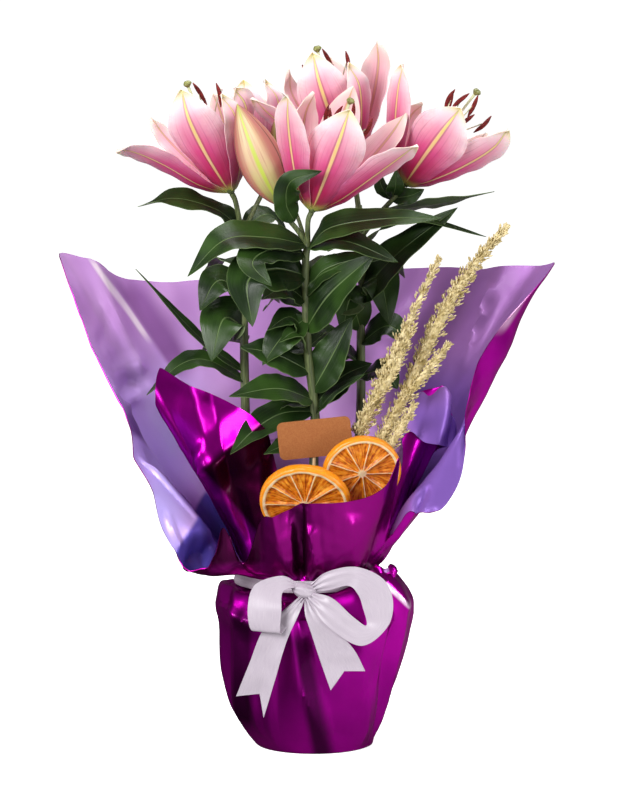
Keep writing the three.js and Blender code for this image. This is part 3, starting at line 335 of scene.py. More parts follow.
# Leaves: the line of the rib, the width, where the upper side faces, and for one leaf how far it waves.
FRONT_LEAVES = [
    ([(-7, -25, 430), (-42, -44, 438), (-76, -58, 437), (-106, -68, 408)], 40, (0, -0.55, 0.83)),
    ([(-8, -25, 422), (-38, -52, 428), (-52, -72, 419), (-36, -84, 402)], 34, (0, -0.7, 0.7)),
    ([(-8, -24, 404), (-34, -40, 411), (-56, -54, 402), (-52, -62, 365)], 50, (0, -0.8, 0.6)),
    ([(-2, -19, 298), (-32, -40, 310), (-72, -58, 306)], 36, (0, -0.6, 0.8)),
    ([(-4, -20, 322), (-34, -30, 338), (-63, -38, 345)], 34, (0, -0.7, 0.7)),
    ([(0, -18, 288), (-28, -19, 286), (-51, -32, 274), (-71, -50, 256)], 30, (0, -0.7, 0.7)),
    ([(0, -18, 272), (-23, -28, 262), (-43, -36, 254)], 20, (0, -0.7, 0.7)),
    ([(-2, -18, 294), (-25, -8, 293), (-48, -6, 281)], 24, (0, -0.3, 0.95)),
    ([(-6, -21, 337), (-16, -36, 357), (-30, -44, 350)], 18, (0, -0.5, 0.87)),
    ([(-6, -26, 426), (13, -44, 446), (59, -56, 455), (105, -60, 456)], 32, (0, -0.6, 0.8)),
    ([(-7, -25, 428), (25, -46, 435), (69, -68, 420)], 33, (0, -0.5, 0.87)),
    ([(-8, -23, 358), (13, -44, 391), (50, -58, 426)], 42, (-0.5, -0.75, 0.45)),
    ([(-2, -19, 305), (15, -34, 338), (31, -44, 371)], 36, (-0.4, -0.8, 0.4)),
    ([(0, -18, 285), (16, -28, 305), (42, -34, 322)], 15, (-0.3, -0.5, 0.8)),
    ([(-17, -29, 450), (-24, -44, 466), (-20, -62, 487), (6, -74, 497)], 24, (0.2, -0.9, 0.3)),
    ([(-8, -23, 383), (-25, -30, 394), (-45, -36, 385)], 36, (0, -0.5, 0.8)),
    ([(-6, -21, 353), (-21, -28, 369), (-40, -36, 359)], 26, (0, -0.5, 0.8)),
    ([(-8, -23, 378), (-28, -6, 386), (-44, 4, 370)], 32, (0, -0.3, 1)),
    ([(-8, -24, 398), (16, -10, 409), (40, -2, 398)], 34, (0, -0.4, 0.9)),
    ([(-5, -21, 343), (12, -8, 354), (20, -4, 340)], 28, (0, -0.4, 0.9)),
    ([(-6, -21, 338), (-26, -2, 344), (-42, 6, 328)], 28, (0, -0.4, 0.9)),
    ([(-7, -22, 368), (-28, -32, 352), (-44, -40, 330)], 30, (-0.2, -0.8, 0.5)),
    ([(-1, -18, 292), (22, -14, 316), (48, -12, 328)], 32, (-0.3, -0.7, 0.6)),
    ([(-8, -24, 386), (6, -32, 408), (34, -38, 419), (58, -42, 421)], 24, (-0.3, -0.6, 0.7)),
]
LEFT_LEAVES = [
    ([(-62, 18, 438), (-84, 8, 456), (-118, 0, 466), (-149, -8, 460)], 28, (0, -0.5, 0.87), 3),
    ([(-61, 19, 438), (-40, 34, 449), (-24, 46, 434)], 26, (0, -0.5, 0.85)),
    ([(-60, 19, 354), (-77, -1, 364), (-87, -16, 330)], 44, (-0.2, -0.8, 0.55)),
    ([(-59, 20, 316), (-97, 12, 346), (-151, -4, 407)], 15, (0.6, -0.45, 0.65)),
    ([(-59, 20, 308), (-90, 4, 328), (-114, -2, 325), (-142, -6, 300)], 24, (0, -0.55, 0.85)),
    ([(-60, 20, 341), (-76, 44, 344), (-97, 60, 328)], 28, (0, 0, 1)),
    ([(-60, 20, 378), (-45, 40, 383), (-30, 60, 370)], 28, (0, 0, 1)),
    ([(-60, 19, 408), (-79, 40, 409), (-95, 56, 386)], 28, (0, 0, 1)),
    ([(-60, 19, 385), (-82, 2, 396), (-97, -8, 372)], 32, (0, -0.7, 0.6)),
    ([(-61, 19, 415), (-40, 6, 430), (-24, 0, 420)], 26, (0, -0.5, 0.87)),
]
RIGHT_LEAVES = [
    ([(38, 31, 441), (76, 18, 455), (110, 8, 462), (151, 0, 472)], 22, (0, 0.45, 0.9)),
    ([(39, 29, 420), (58, 10, 440), (93, -2, 447), (144, -12, 435)], 16, (0, -0.25, 1)),
    ([(39, 28, 376), (63, 8, 412), (120, -4, 459)], 44, (-0.3, -0.6, 0.7)),
    ([(39, 29, 389), (55, 10, 396), (63, 0, 359)], 36, (0, -0.8, 0.6)),
    ([(39, 27, 351), (30, 12, 379), (23, 4, 350)], 31, (0, -0.8, 0.6)),
    ([(39, 30, 410), (59, 54, 409), (77, 74, 390)], 31, (0, 0, 1)),
    ([(39, 28, 340), (62, 16, 356), (80, 8, 342)], 32, (0, -0.6, 0.8)),
    ([(39, 31, 427), (25, 52, 429), (11, 70, 413)], 28, (0, 0, 1)),
    ([(39, 28, 366), (30, 56, 372), (31, 76, 351)], 31, (0, 0, 1)),
    ([(39, 27, 312), (58, 12, 318), (70, 2, 304)], 28, (0, -0.6, 0.8)),
    ([(39, 29, 396), (22, 16, 408), (10, 10, 396)], 30, (0, -0.5, 0.85)),
    ([(39, 27, 322), (24, 16, 334), (10, 10, 324)], 28, (0, -0.5, 0.85)),
    ([(64, 21, 463), (56, 12, 476), (54, 10, 489)], 14, (-0.5, -0.8, 0.2)),
    ([(65, 20, 464), (68, 8, 476), (68, 4, 490)], 15, (0.1, -1, 0.2)),
    ([(65, 21, 464), (80, 6, 468), (92, 0, 474)], 15, (0.5, -0.8, 0.2)),
]
STEM_LINES = {
    "front": [(0, -24, 94.6), (0, -22, 150), (-1, -16, 238), (0, -18, 287), (-6, -21, 341),
              (-8, -25, 409), (-6, -26, 432)],
    "left": [(-30, 16, 94.6), (-42, 17, 150), (-58, 18, 233), (-59, 20, 284), (-60, 20, 343),
             (-60, 19, 395), (-62, 18, 438)],
    "right": [(30, 16, 94.6), (30, 20, 150), (36, 26, 232), (39, 27, 291), (39, 28, 351), (40, 30, 410),
              (37, 32, 457)],
}
# Blooms: the foot, the axis, how long the stamens are as a share, and the tepals. A tepal has its angle round
# the axis, how far out and how far up its tip is, its width, how far its blade turns, and for some an arch.
BLOOMS = [
    ((-70, 14, 469), (-0.37, -0.083, 0.926), 1,
     [(343, 17, 100, 52, 0), (96, 34, 82, 42, -45), (228, 54, 80, 26, 0),
      (50, 26, 84, 30, 0), (160, 40, 78, 28, 0), (283, 74, 75, 36, 34, 9)]),
    ((-3, -31, 458), (0.319, -0.133, 0.938), 1,
     [(2, 26, 99, 54, 0), (80, 64, 87, 42, -38, 4), (232, 36, 92, 36, 0),
      (128, 58, 98, 36, 0), (180, 34, 104, 34, 0), (307, 61, 98, 36, 22)]),
    ((30, 38, 493), (-0.28, -0.06, 0.957), 1,
     [(350, 21, 101, 50, 0), (108, 52, 91, 42, 25), (242, 30, 88, 32, 0),
      (45, 26, 84, 32, 0), (170, 42, 84, 30, 0), (286, 62, 80, 30, 30)]),
    ((75, 16, 475), (0.602, -0.061, 0.796), 1,
     [(352, 31, 85, 54, 0), (64, 42, 94, 42, -25), (232, 34, 62, 32, 0),
      (135, 38, 74, 30, 0), (183, 36, 66, 28, 0), (280, 61, 84, 32, 40)]),
    ((-44, 66, 478), (-0.16, 0.27, 0.95), 0.66,
     [(350, 14, 80, 36, 0), (110, 22, 72, 34, 0), (230, 26, 76, 34, 0),
      (50, 14, 78, 28, 0), (170, 32, 76, 28, 0), (290, 20, 78, 28, 0)]),
]
# Buds: the foot, the way from there to the tip, and the radius.
BUDS = {
    "bud_large": ((-28, -30, 463), (-37, -2, 86), 19.5),
    "bud_small": ((-27, 5, 487), (-6, -2, 48), 8.5),
}
# Stalks on each stem: where each comes from, the bud or bloom that it carries, and its radius.
STALKS = {
    "front": [([(-6, -26, 430), (-15, -28, 443)], BUDS["bud_large"], 2.4),
              ([(-6, -26, 428)], BLOOMS[1], 2.4),
              ([(-6, -26, 426), (-14, -10, 450)], BUDS["bud_small"], 1.8)],
    "left": [([(-62, 18, 436)], BLOOMS[0], 2.4),
             ([(-62, 18, 432), (-52, 34, 452)], BLOOMS[4], 2.2)],
    "right": [([(37, 32, 454)], BLOOMS[2], 2.4),
              ([(39, 31, 430), (54, 25, 450)], BLOOMS[3], 2.4)],
}
# Lines up the large sheet from its neck to its edge: the angle at the neck, and three points. They go round
# from the back by the left, the front and the right.
OUTER_RIBS = [
    (90, (-8, 98, 280), (-6, 114, 340), (-6, 126, 386)),
    (108, (-60, 92, 280), (-72, 106, 336), (-88, 116, 384)),
    (126, (-100, 78, 280), (-122, 90, 336), (-144, 100, 384)),
    (143, (-128, 62, 280), (-158, 70, 342), (-182, 76, 400)),
    (158, (-140, 44, 270), (-176, 50, 338), (-213, 52, 411)),
    (172, (-138, 24, 252), (-170, 24, 305), (-199, 24, 364)),
    (184, (-130, 4, 236), (-154, 0, 280), (-179, -4, 320)),
    (196, (-118, -12, 221), (-142, -18, 254), (-158, -24, 281)),
    (207, (-104, -24, 202), (-137, -38, 250), (-146, -54, 254)),
    (217, (-92, -34, 188), (-122, -52, 240), (-136, -70, 230)),
    (226, (-80, -44, 176), (-97, -66, 208), (-127, -86, 198)),
    (235, (-74, -57, 161), (-98, -75, 164), (-107, -93, 172)),
    (241, (-62, -62, 157), (-80, -79, 161), (-84, -91, 176)),
    (244.5, (-54, -63, 156), (-66, -77, 168), (-76, -83, 199)),
    (248, (-47, -63, 156), (-54, -71, 162), (-60, -79, 168)),
    (252, (-39, -66, 161), (-42, -79, 183), (-45, -88, 206)),
    (260, (-27, -73, 164), (-31, -87, 187), (-35, -94, 210)),
    (269, (-14, -66, 162), (-16, -78, 186), (-22, -88, 215)),
    (277, (-2, -76, 164), (-2, -90, 188), (-10, -96, 221)),
    (288, (16, -76, 164), (16, -91, 188), (17, -97, 222)),
    (300, (34, -68, 164), (38, -84, 190), (42, -92, 226)),
    (309, (42, -60, 166), (51, -75, 198), (60, -84, 236)),
    (315, (45, -51, 169), (57, -62, 208), (71, -68, 254)),
    (320, (48, -41, 165), (57, -45, 178), (62, -49, 188)),
    (326, (56, -36, 170), (75, -56, 214), (79, -72, 212)),
    (334, (70, -30, 178), (90, -50, 232), (98, -74, 210)),
    (342, (86, -24, 194), (107, -40, 252), (112, -64, 219)),
    (350, (102, -10, 216), (120, -26, 270), (124, -46, 243)),
    (360, (116, 4, 243), (130, 4, 282), (128, -14, 288)),
    (372, (124, 20, 260), (153, 24, 316), (140, 8, 330)),
    (384, (122, 36, 270), (165, 46, 336), (167, 34, 366)),
    (397, (114, 54, 278), (160, 64, 342), (202, 64, 400)),
    (412, (88, 78, 280), (122, 92, 338), (148, 100, 395)),
    (430, (42, 94, 280), (58, 110, 338), (93, 118, 394)),
]
# The same for the smaller sheet within it: one high corner on the left, and the right side turned outwards.
INNER_RIBS = [
    (90, (-8, 60, 190), (-8, 68, 225), (-8, 74, 252)),
    (120, (-42, 50, 190), (-52, 56, 225), (-60, 60, 252)),
    (150, (-72, 34, 192), (-90, 36, 226), (-104, 36, 256)),
    (175, (-78, 10, 192), (-98, 6, 232), (-118, 2, 270)),
    (192, (-74, -6, 188), (-100, -12, 236), (-134, -20, 298)),
    (203, (-68, -16, 186), (-96, -20, 240), (-127, -24, 320)),
    (214, (-60, -24, 184), (-82, -24, 240), (-100, -25, 309)),
    (226, (-50, -30, 182), (-62, -27, 238), (-68, -23, 294)),
    (238, (-42, -34, 180), (-46, -28, 230), (-46, -22, 277)),
    (248, (-38, -37, 172), (-36, -32, 206), (-33, -26, 244)),
    (259, (-18, -49, 153), (-19, -48, 159), (-20, -46, 165)),
    (280, (1, -50, 153), (1, -50, 158), (1, -50, 163)),
    (300, (17, -44, 153), (18, -45, 158), (19, -45, 163)),
    (313, (27, -38, 155), (30, -39, 161), (33, -40, 168)),
    (324, (41, -31, 170), (54, -33, 202), (68, -32, 236)),
    (335, (56, -20, 185), (79, -12, 290), (78, -22, 270)),
    (345, (68, -14, 195), (106, -6, 303), (94, -24, 262)),
    (355, (74, -4, 200), (114, 2, 286), (110, -18, 258)),
    (368, (72, 8, 200), (112, 12, 264), (115, -2, 256)),
    (390, (60, 28, 192), (80, 34, 225), (94, 38, 250)),
    (420, (24, 52, 190), (34, 60, 222), (42, 66, 252)),
]
# The bag from its foot to its neck: the height, the radius, how far it sags to the left, and how far its
# shoulder stands up on the left and on the right of the bow, which is most at these two angles.
LEFT_SHOULDER, RIGHT_SHOULDER = 200, 328
BAG = [
    (FILM / 2, 40, 0, 0, 0), (FILM / 2, 48, 1, 0, 0), (12, 55, 2.5, 0, 0), (42, 68.5, 5, 0, 0),
    (108, 82.5, 0, 1, 3), (123, 81.5, -1, 7, 15), (132, 74, 1, 8, 27), (134, 66.5, 1, 2, 3),
]
# Dried spikes: the stalk, and each head with its radius.
SPIKES = {
    "amaranth_left": ([(12, -34, 100), (18, -32, 150), (30, -27, 230), (38, -28, 276)], [
        ([(37, -28, 270), (54, -29, 308), (70, -31, 346), (104, -34, 420)], 6.6),
        ([(44, -29, 288), (66, -38, 326), (83, -41, 364)], 4.6),
    ]),
    "amaranth_right": ([(34, -4, 100), (33, -6, 150), (42, -18, 210), (52, -27, 262)], [
        ([(51, -26, 256), (74, -25, 299), (106, -24, 367), (131, -22, 409), (161, -20, 445)], 7),
        ([(72, -27, 296), (94, -36, 324), (112, -38, 348)], 4.8),
        ([(76, -25, 305), (88, -15, 333), (99, -14, 367)], 4),
    ]),
    "amaranth_short": ([(27, -24, 100), (28, -26, 150), (44, -31, 215), (58, -35, 252)], [
        ([(56, -34, 246), (71, -38, 275), (84, -42, 298)], 5),
    ]),
}
# Orange slices: the centre, the radius, the thickness, how far each leans and turns, and its wedges.
SLICES = {
    "orange_slice_front": ((-8, -64, 218), 38, 9, 30, -6, 10),
    "orange_slice_back": ((39, -54, 242), 33, 8, 20, 8, 9),
}
# The bow: the back of the knot, and the two edges of each loop and tail. A tail ends in a swallow tail, given
# by its two corners in the front view and the deepest point of the cut between them.
KNOT_BACK = [(-9, -61.4, 145), (-9, -72, 145), (-9, -82, 145)]
LOOPS = [
    ([(-12, -80, 150), (-28, -86, 159), (-50, -90, 152), (-56, -96, 134), (-53, -97, 115), (-42, -88, 118),
      (-13, -84, 140)],
     [(-11.5, -80.5, 144), (-17, -87, 149), (-27, -92, 146), (-28, -98, 131), (-29, -98, 113),
      (-22, -89, 118), (-11, -85, 134)]),
    ([(-3, -80, 151), (10, -84, 162), (34, -88, 167), (57, -91, 157), (65, -93, 138), (60, -96, 117),
      (38, -98, 102), (10, -97, 119), (-6, -86, 139)],
     [(-2, -80, 145), (12, -84, 147), (28, -88, 151), (36, -91, 144), (40, -92, 133), (43, -95, 119),
      (32, -97, 126), (14, -96, 142), (-3, -86, 145)]),
]
TAILS = [
    ([(-12, -84, 142), (-30, -88, 126), (-44, -89, 112), (-54, -88, 85), (-64, -86, 57)],
     [(-9, -85, 138), (-14, -90, 126), (-24, -91, 104), (-34, -90, 72), (-44, -88, 41)],
     [(-66, 57), (-46.5, 59), (-43, 39)]),
    ([(-9, -84, 138), (-8, -91, 126), (-3, -92, 112), (5, -92, 90), (15, -91, 65)],
     [(-6, -84, 141), (6, -90, 128), (20, -92, 112), (32, -92, 97), (40, -90, 79)],
     [(13, 63), (24.5, 79), (42, 79)]),
]


# Materials of the plant.

def leaf_finish(name, deep, light, rib, shine):
    """Dark waxy green: long fine veins, a thin pale rib, and a thin pale edge that is a painted highlight
    along the rim.
    """
    leaf = Finish(name, Roughness=shine, Specular_IOR_Level=0.32)
    off_rib = abs(leaf.map_shares()[0] - 0.5)
    veins = leaf.streaks(46, 1.2, 1.0)
    base = leaf.mix(leaf.grain(leaf.place(), 30.0, 2.0).between(0.35, 0.7), deep, light)
    base = leaf.mix(veins.between(0.45, 0.75) * 0.3, base, light)
    rib_line = 1.0 - off_rib.between(0.004, 0.028)
    base = leaf.mix(rib_line * 0.5, base, rib)
    # A painted highlight: the thin pale edge along the leaf's rim.
    base = leaf.mix(off_rib.between(0.475, 0.5) * 0.4, base, rib)
    return leaf.done(base, veins * 0.6 - rib_line, 0.5, 0.8)


def stem_finish():
    stem = Finish("stem", Roughness=0.5)
    streaks = stem.grain(stem.stretched(stem.place(), (900, 900, 60)), 1.0, 3.0)
    return stem.done(stem.mix(streaks.between(0.3, 0.75), "3f4a2a", "6f7a4a"), streaks, 0.3, 0.6)


def tepal_finish(name, inside):
    """Pale margins and tip over deep pink. The outside has a yellow rib and a green and crimson foot."""
    tepal = Finish(name, Roughness=0.45, Subsurface_Weight=0.15, Subsurface_Scale=0.003)
    across, up = tepal.map_shares()
    place = tepal.place()
    off_rib = abs(across - 0.5)
    streaks = tepal.streaks(34, 1.1)
    clouds = tepal.grain(place, 45.0, 2.0)
    if inside:
        middle = tepal.ramp(up, (0.0, "c0c868"), (0.1, "a82c4c"), (0.35, "d4708e"), (0.7, "ecb0bf"),
                            (1.0, "f0d8cc"))
        pale = tepal.ramp(up, (0.0, "ccc688"), (0.2, "dc98aa"), (0.55, "f0c6d0"), (1.0, "f4e0d2"))
        veins = "b03458"
        rib = tepal.ramp(up, (0.0, "b8c060"), (0.3, "b04058"), (0.6, "cc8c78"), (1.0, "d8cc70"))
    else:
        middle = tepal.ramp(up, (0.0, "98a84a"), (0.07, "a09848"), (0.14, "902c40"), (0.3, "b41a58"),
                            (0.5, "d45088"), (0.72, "e298b0"), (0.9, "f2ccd2"), (1.0, "dcd688"))
        pale = tepal.ramp(up, (0.0, "a0b050"), (0.08, "b09458"), (0.18, "ac2c60"), (0.4, "d46c98"),
                          (0.6, "eec0cc"), (0.85, "f8e6e6"), (1.0, "e4dca0"))
        veins = "94244e"
        rib = tepal.ramp(up, (0.0, "7c9038"), (0.12, "b8a060"), (0.4, "e8c490"), (0.75, "e4d078"),
                         (1.0, "c8d458"))
    ragged = off_rib + (clouds - 0.5) * 0.3
    base = tepal.mix(ragged.between(0.12, 0.5, "LINEAR"), middle, pale)
    base = tepal.mix(streaks.between(0.5, 0.75) * up.between(1.0, 0.4) * 0.5, base, veins)
    base = tepal.mix(tepal.grain(place, 420.0, 3.0).between(0.42, 0.7) * 0.22, base, middle)
    by_the_rib = off_rib.between(0.024, 0.034) * off_rib.between(0.07, 0.042)
    base = tepal.mix(by_the_rib * 0.5, base, "984048")
    rib_line = off_rib.between(0.036, 0.018)
    base = tepal.mix(rib_line * 0.9, base, rib)
    if inside:
        spots = tepal.wire("TexVoronoi", {"Vector": place, "Scale": 420.0}).outputs["Distance"]
        low = up.between(0.5, 0.3) * off_rib.between(0.36, 0.26)
        base = tepal.mix(Share(tepal.made, spots).between(0.34, 0.22) * low * 0.7, base, "7a0f2c")
    return tepal.done(base, streaks * 0.6 + rib_line * 0.7, 0.5, 0.7)


def bud_finish(name, rib, seam, *tones):
    """A closed bud: three ribs and three seams between them, with long streaks."""
    closed = Finish(name, Roughness=0.48, Subsurface_Weight=0.15, Subsurface_Scale=0.003)
    round_it, up = closed.map_shares()
    streaks = closed.streaks(46, 1.6)
    off_rib = abs((round_it * 3.0 + 0.583).fraction() - 0.5)
    base = closed.mix(off_rib.between(0.16, 0.42), closed.ramp(up, *tones), seam)
    base = closed.mix(streaks.between(0.45, 0.7) * 0.6, base, seam)
    base = closed.mix(off_rib.between(0.075, 0.025), base, rib)
    base = closed.mix(off_rib.between(0.475, 0.5), base, "5c3a2c")
    return closed.done(base, streaks - off_rib.between(0.46, 0.5), 0.5, 0.6)


def plain_finish(name, low, high, scale, roughness, bump=0.2, stretch=None):
    """Two tones mixed by a grain."""
    plain = Finish(name, Roughness=roughness)
    where = plain.place()
    if stretch:
        where = plain.stretched(where, stretch)
    mottle = plain.grain(where, scale, 4.0)
    return plain.done(plain.mix(mottle.between(0.3, 0.72), low, high), mottle if bump else None, bump, 0.7)


leaf_top = leaf_finish("leaf_top", "14250d", "304a1c", "809860", 0.33)
leaf_under = leaf_finish("leaf_under", "3a4a2a", "55663e", "a9b48c", 0.5)
stem_skin = stem_finish()
tepal_inside = tepal_finish("tepal_inside", True)
tepal_outside = tepal_finish("tepal_outside", False)
bud_skins = {
    "bud_large": bud_finish("bud_cream", "bcc850", "b06a60", (0.0, "8c9c40"), (0.2, "bcb470"),
                            (0.5, "d2b48e"), (0.85, "d4bc8c"), (1.0, "a8b048")),
    "bud_small": bud_finish("bud_olive", "7c8440", "9a6c4c", (0.0, "707838"), (0.5, "b4a868"),
                            (1.0, "8c9040")),
}
anther_dust = plain_finish("anther_dust", "4a0f10", "8c2420", 900.0, 0.95, 0.3)
filament_skin = plain_finish("filament", "c9cfa0", "e6e6c8", 80.0, 0.5, 0)
stigma_skin = plain_finish("stigma", "6d6f3a", "9a9a5a", 300.0, 0.35)
grain_skin = plain_finish("amaranth_grain", "b29e66", "eedeb0", 160.0, 0.9, 0.3)
straw = plain_finish("straw", "8c8452", "c2b880", 120.0, 0.8)
wood = plain_finish("pick_wood", "b08a58", "dcc096", 1.0, 0.75, stretch=(900, 900, 60))
soil_finish = plain_finish("soil", "1c130d", "4a3524", 240.0, 1.0, 1.2)
bulb_skin = plain_finish("bulb_scale", "c9bd90", "eee6c4", 90.0, 0.6, 0.3)
pot_plastic = plain_finish("pot_plastic", "2b2623", "3a332f", 50.0, 0.45, 0)
kraft = plain_finish("kraft", "965628", "a26432", 900.0, 0.85, 0.05)
kraft_edge = plain_finish("kraft_edge", "8f5f33", "a87442", 420.0, 0.9, 0)


# Materials of the film and the ribbon.

def film_finish(name, tint, shade, metallic, rough, *tones_and_painted_light):
    """Pearly florist's film: a soft metallic sheen. Each tone lies where the film is past all its slopes;
    most tones are painted shade and painted highlights. A slope has its parts of x, y and z, and where it
    starts and where it is full."""
    film = Finish(name, Metallic=metallic, Roughness=rough, Coat_Weight=0.08, Coat_Roughness=0.1,
                  Specular_Tint=colour(shade))
    place = film.place()
    base = film.mix(film.grain(place, 14.0, 2.0).between(0.35, 0.65), tint, shade)
    for code, *slopes in tones_and_painted_light:
        share = None
        for parts, start, full in slopes:
            height = film.wire("VectorMath", [place, parts], operation="DOT_PRODUCT").outputs["Value"]
            one = Share(film.made, height).between(start * MM, full * MM)
            share = one if share is None else share * one
        base = film.mix(share, base, code)
    return film.done(base, film.grain(place, 40.0, 1.0), 0.8, 0.15)


X, Y, Z = (1, 0, 0), (0, 1, 0), (0, 0, 1)
# Slopes of the painted highlights along the bag's right shoulder and across the strip on the right, and of
# the painted shade and highlight by the folds of the left side.
DOWN_RIGHT, STRIP, STEEP_LEFT, FLAT_LEFT = (1, 0, 1), (-1.46, 0, 1), (1.49, 0, 1), (1.19, 0, 1)
film_magenta = film_finish(
    "film_magenta", "c006aa", "a80496", 0.95, 0.33,
    # Painted shade: the front of the film above the bow made darker.
    ("9c0c84", (Y, -45, -62), (Z, 150, 160)),
    # Painted shade: a dark band along the upright fold of the front panel.
    ("5c0a4c", (X, -20, -15), (X, -4, -9), (Z, 152, 160), (Z, 228, 212), (Y, -45, -60)),
    # Painted shadow under the bow: a dark diagonal band down the front of the bag.
    ("54024a", ((1, 0, 0.175), -5, 3), ((1, 0, 0.175), 21, 9), (Z, 118, 100), (Y, -20, -40)),
    # Painted shade in the valley of the fold on the bag's left.
    ("58044e", (X, -73, -67), (X, -49, -57), (Z, 132, 120), (Z, 12, 30), (Y, 0, -15)),
    # Painted highlight along a crease of the bag's right shoulder.
    ("f4d0ee", (DOWN_RIGHT, 200.5, 203.5), (DOWN_RIGHT, 208.5, 205.5), (X, 38, 46), (Z, 106, 118),
     (Z, 170, 163), (Y, -5, -15)),
    # Painted shade on the front left of the film above the neck.
    ("420432", (X, -92, -84), (X, -38, -48), (Z, 160, 172), (Y, -30, -45)),
    # Painted highlight across the rolled strip on the film's right edge.
    ("e8b4de", (STRIP, 110, 118), (STRIP, 134, 126), (Z, 345, 358), (Z, 398, 386), (X, 120, 140)))
film_inner_magenta = film_finish(
    "film_inner_magenta", "c006aa", "a80496", 0.95, 0.3,
    # Painted shade: the inner sheet's magenta goes dark maroon low on the left, under its flap.
    ("3a0226", ((-0.81, 0, 1), 326, 314), (FLAT_LEFT, 121, 132), (X, -10, -30)))
film_lilac = film_finish(
    "film_lilac", "dcacea", "c490d4", 0.3, 0.42,
    ("bca8f0", (X, -70, -130), (Z, 370, 220)),
    # Painted shade in the valley beside the crease of the left back panel.
    ("9664a6", (STEEP_LEFT, 122, 132), (STEEP_LEFT, 178, 148), (Z, 290, 315), (Z, 400, 370), (X, -95, -120)),
    # Painted highlight along the crease of the left back panel.
    ("fae6f8", (STEEP_LEFT, 117, 121), (STEEP_LEFT, 128, 124), (Z, 330, 345), (Z, 412, 400), (X, -130, -140),
     (Y, 5, 15)),
    # Painted shade on the band between the left lobe and the inner sheet's flap.
    ("563478", (FLAT_LEFT, 84, 91), (FLAT_LEFT, 142, 112), (Z, 310, 276), (X, -60, -70), (Y, 20, 0)),
    # Painted shade in the hollow of the left lobe.
    ("5446a6", ((-1.26, 0, 1), 332, 324), ((0.71, 0, 1), 149, 141), (X, -50, -70)),
    # Painted shade: the right side of the film darker than the left.
    ("b07cc2", (X, 20, 90)),
    # Painted shade, deeper, on the lower right of the film.
    ("7c58ac", (X, 60, 90), (Z, 340, 280)))


def satin_finish():
    weft = Finish("satin", Roughness=0.34, Anisotropic=0.6, Sheen_Weight=0.3, Sheen_Roughness=0.3)
    weave = weft.streaks(240, 12)
    return weft.done(weft.mix(weave.between(0.3, 0.7), "c6bcc6", "b4a8b6"), weave, 0.12, 0.5)


satin = satin_finish()


# Blades: leaves and tepals.

def lanceolate(t):
    return held(np.sin(math.pi * held(t) ** 0.72)) ** 0.9


def tepal_outline(t):
    widest = 0.55
    low = held(t / widest) ** 0.65
    high = 1 - held((t - widest) / (1 - widest)) ** 2.2
    return np.where(t < widest, low, high)


def blade(name, line, width, face, outline, rows, columns, finishes, thickness, cup=None, wave=0.0,
          ruffle=0.0, curl=0.0, seed=0.0):
    """A pointed blade along the line of its rib, as in the CAD part, with ruffled margins and a curled tip.
    It is cupped, or folded a little along its rib."""
    ts = shares(rows)
    centre = along(line, ts)
    course = heading(line, ts)
    side = unit(np.cross(course, np.asarray(face, float)))
    normal = np.cross(side, course)
    half = width / 2 * outline(ts)
    s = np.linspace(-1, 1, columns + 1)
    across = s[None, :] * half[:, None]
    if cup is None:
        sideways = across
        lift = 0.18 * np.abs(across) * (1 - 0.25 * np.abs(s)[None, :])
    else:
        bend = cup(ts)[:, None]
        sideways = np.sin(across * bend) / bend
        lift = (1 - np.cos(across * bend)) / bend
    lift = lift + wave * (s * np.abs(s))[None, :] * np.sin(4 * math.pi * ts)[:, None]
    phase = 2 * math.pi * (5.5 * ts[:, None] + 0.23 * seed) + 1.7 * np.sign(s)[None, :]
    lift = lift + ruffle * (s**2)[None, :] * outline(ts)[:, None] * np.sin(phase)
    lift = lift - curl * (held(ts - 0.6)[:, None] / 0.4) ** 2 * (0.4 + (s**2)[None, :])
    places = centre[:, None] + sideways[..., None] * side[:, None] + lift[..., None] * normal[:, None]
    piece = cloth_grid(name, places, finishes, closed=True)
    thicken(piece, thickness)
    return piece


def leafy_stem(which, leaves):
    pieces = [tube("stem", STEM_LINES[which], [3.9, 3.9, 2.9], 16, 60, stem_skin)]
    for line, (foot, axis, *_), radius in STALKS[which]:
        axis, foot = unit(np.array(axis, float)), np.array(foot, float)
        line = [*line, foot - 9 * axis, foot - GAP * axis]
        pieces.append(tube("stalk", line, [radius, radius * 0.9, radius], 12, 24, stem_skin))
    for k, (line, width, face, *waves) in enumerate(leaves):
        wave, ruffle, columns = (1.0, 0.6, 10) if width > 18 else (0.5, 0.3, 8)
        pieces.append(blade("leaf", line, width, face, lanceolate, 30, columns, [leaf_top, leaf_under], 0.6,
                            wave=waves[0] if waves else wave, ruffle=ruffle, seed=k))
    name = "leafy_stem_" + which
    return settle(join(name + "_live", pieces), name)


# Blooms and buds.

def round_axis_of(foot, axis):
    """The axis of a bloom, the way out from it at an angle, and a place by angle, radius and height."""
    axis = unit(np.array(axis, float))
    front = unit(np.array([0.0, -1.0, 0.0]) + axis * axis[1])
    right = np.cross(axis, front)

    def way_out(degrees):
        return front * cos_of(degrees) + right * sin_of(degrees)

    def place(degrees, radius, height):
        return np.array(foot, float) + axis * height + way_out(degrees) * radius

    return axis, way_out, place


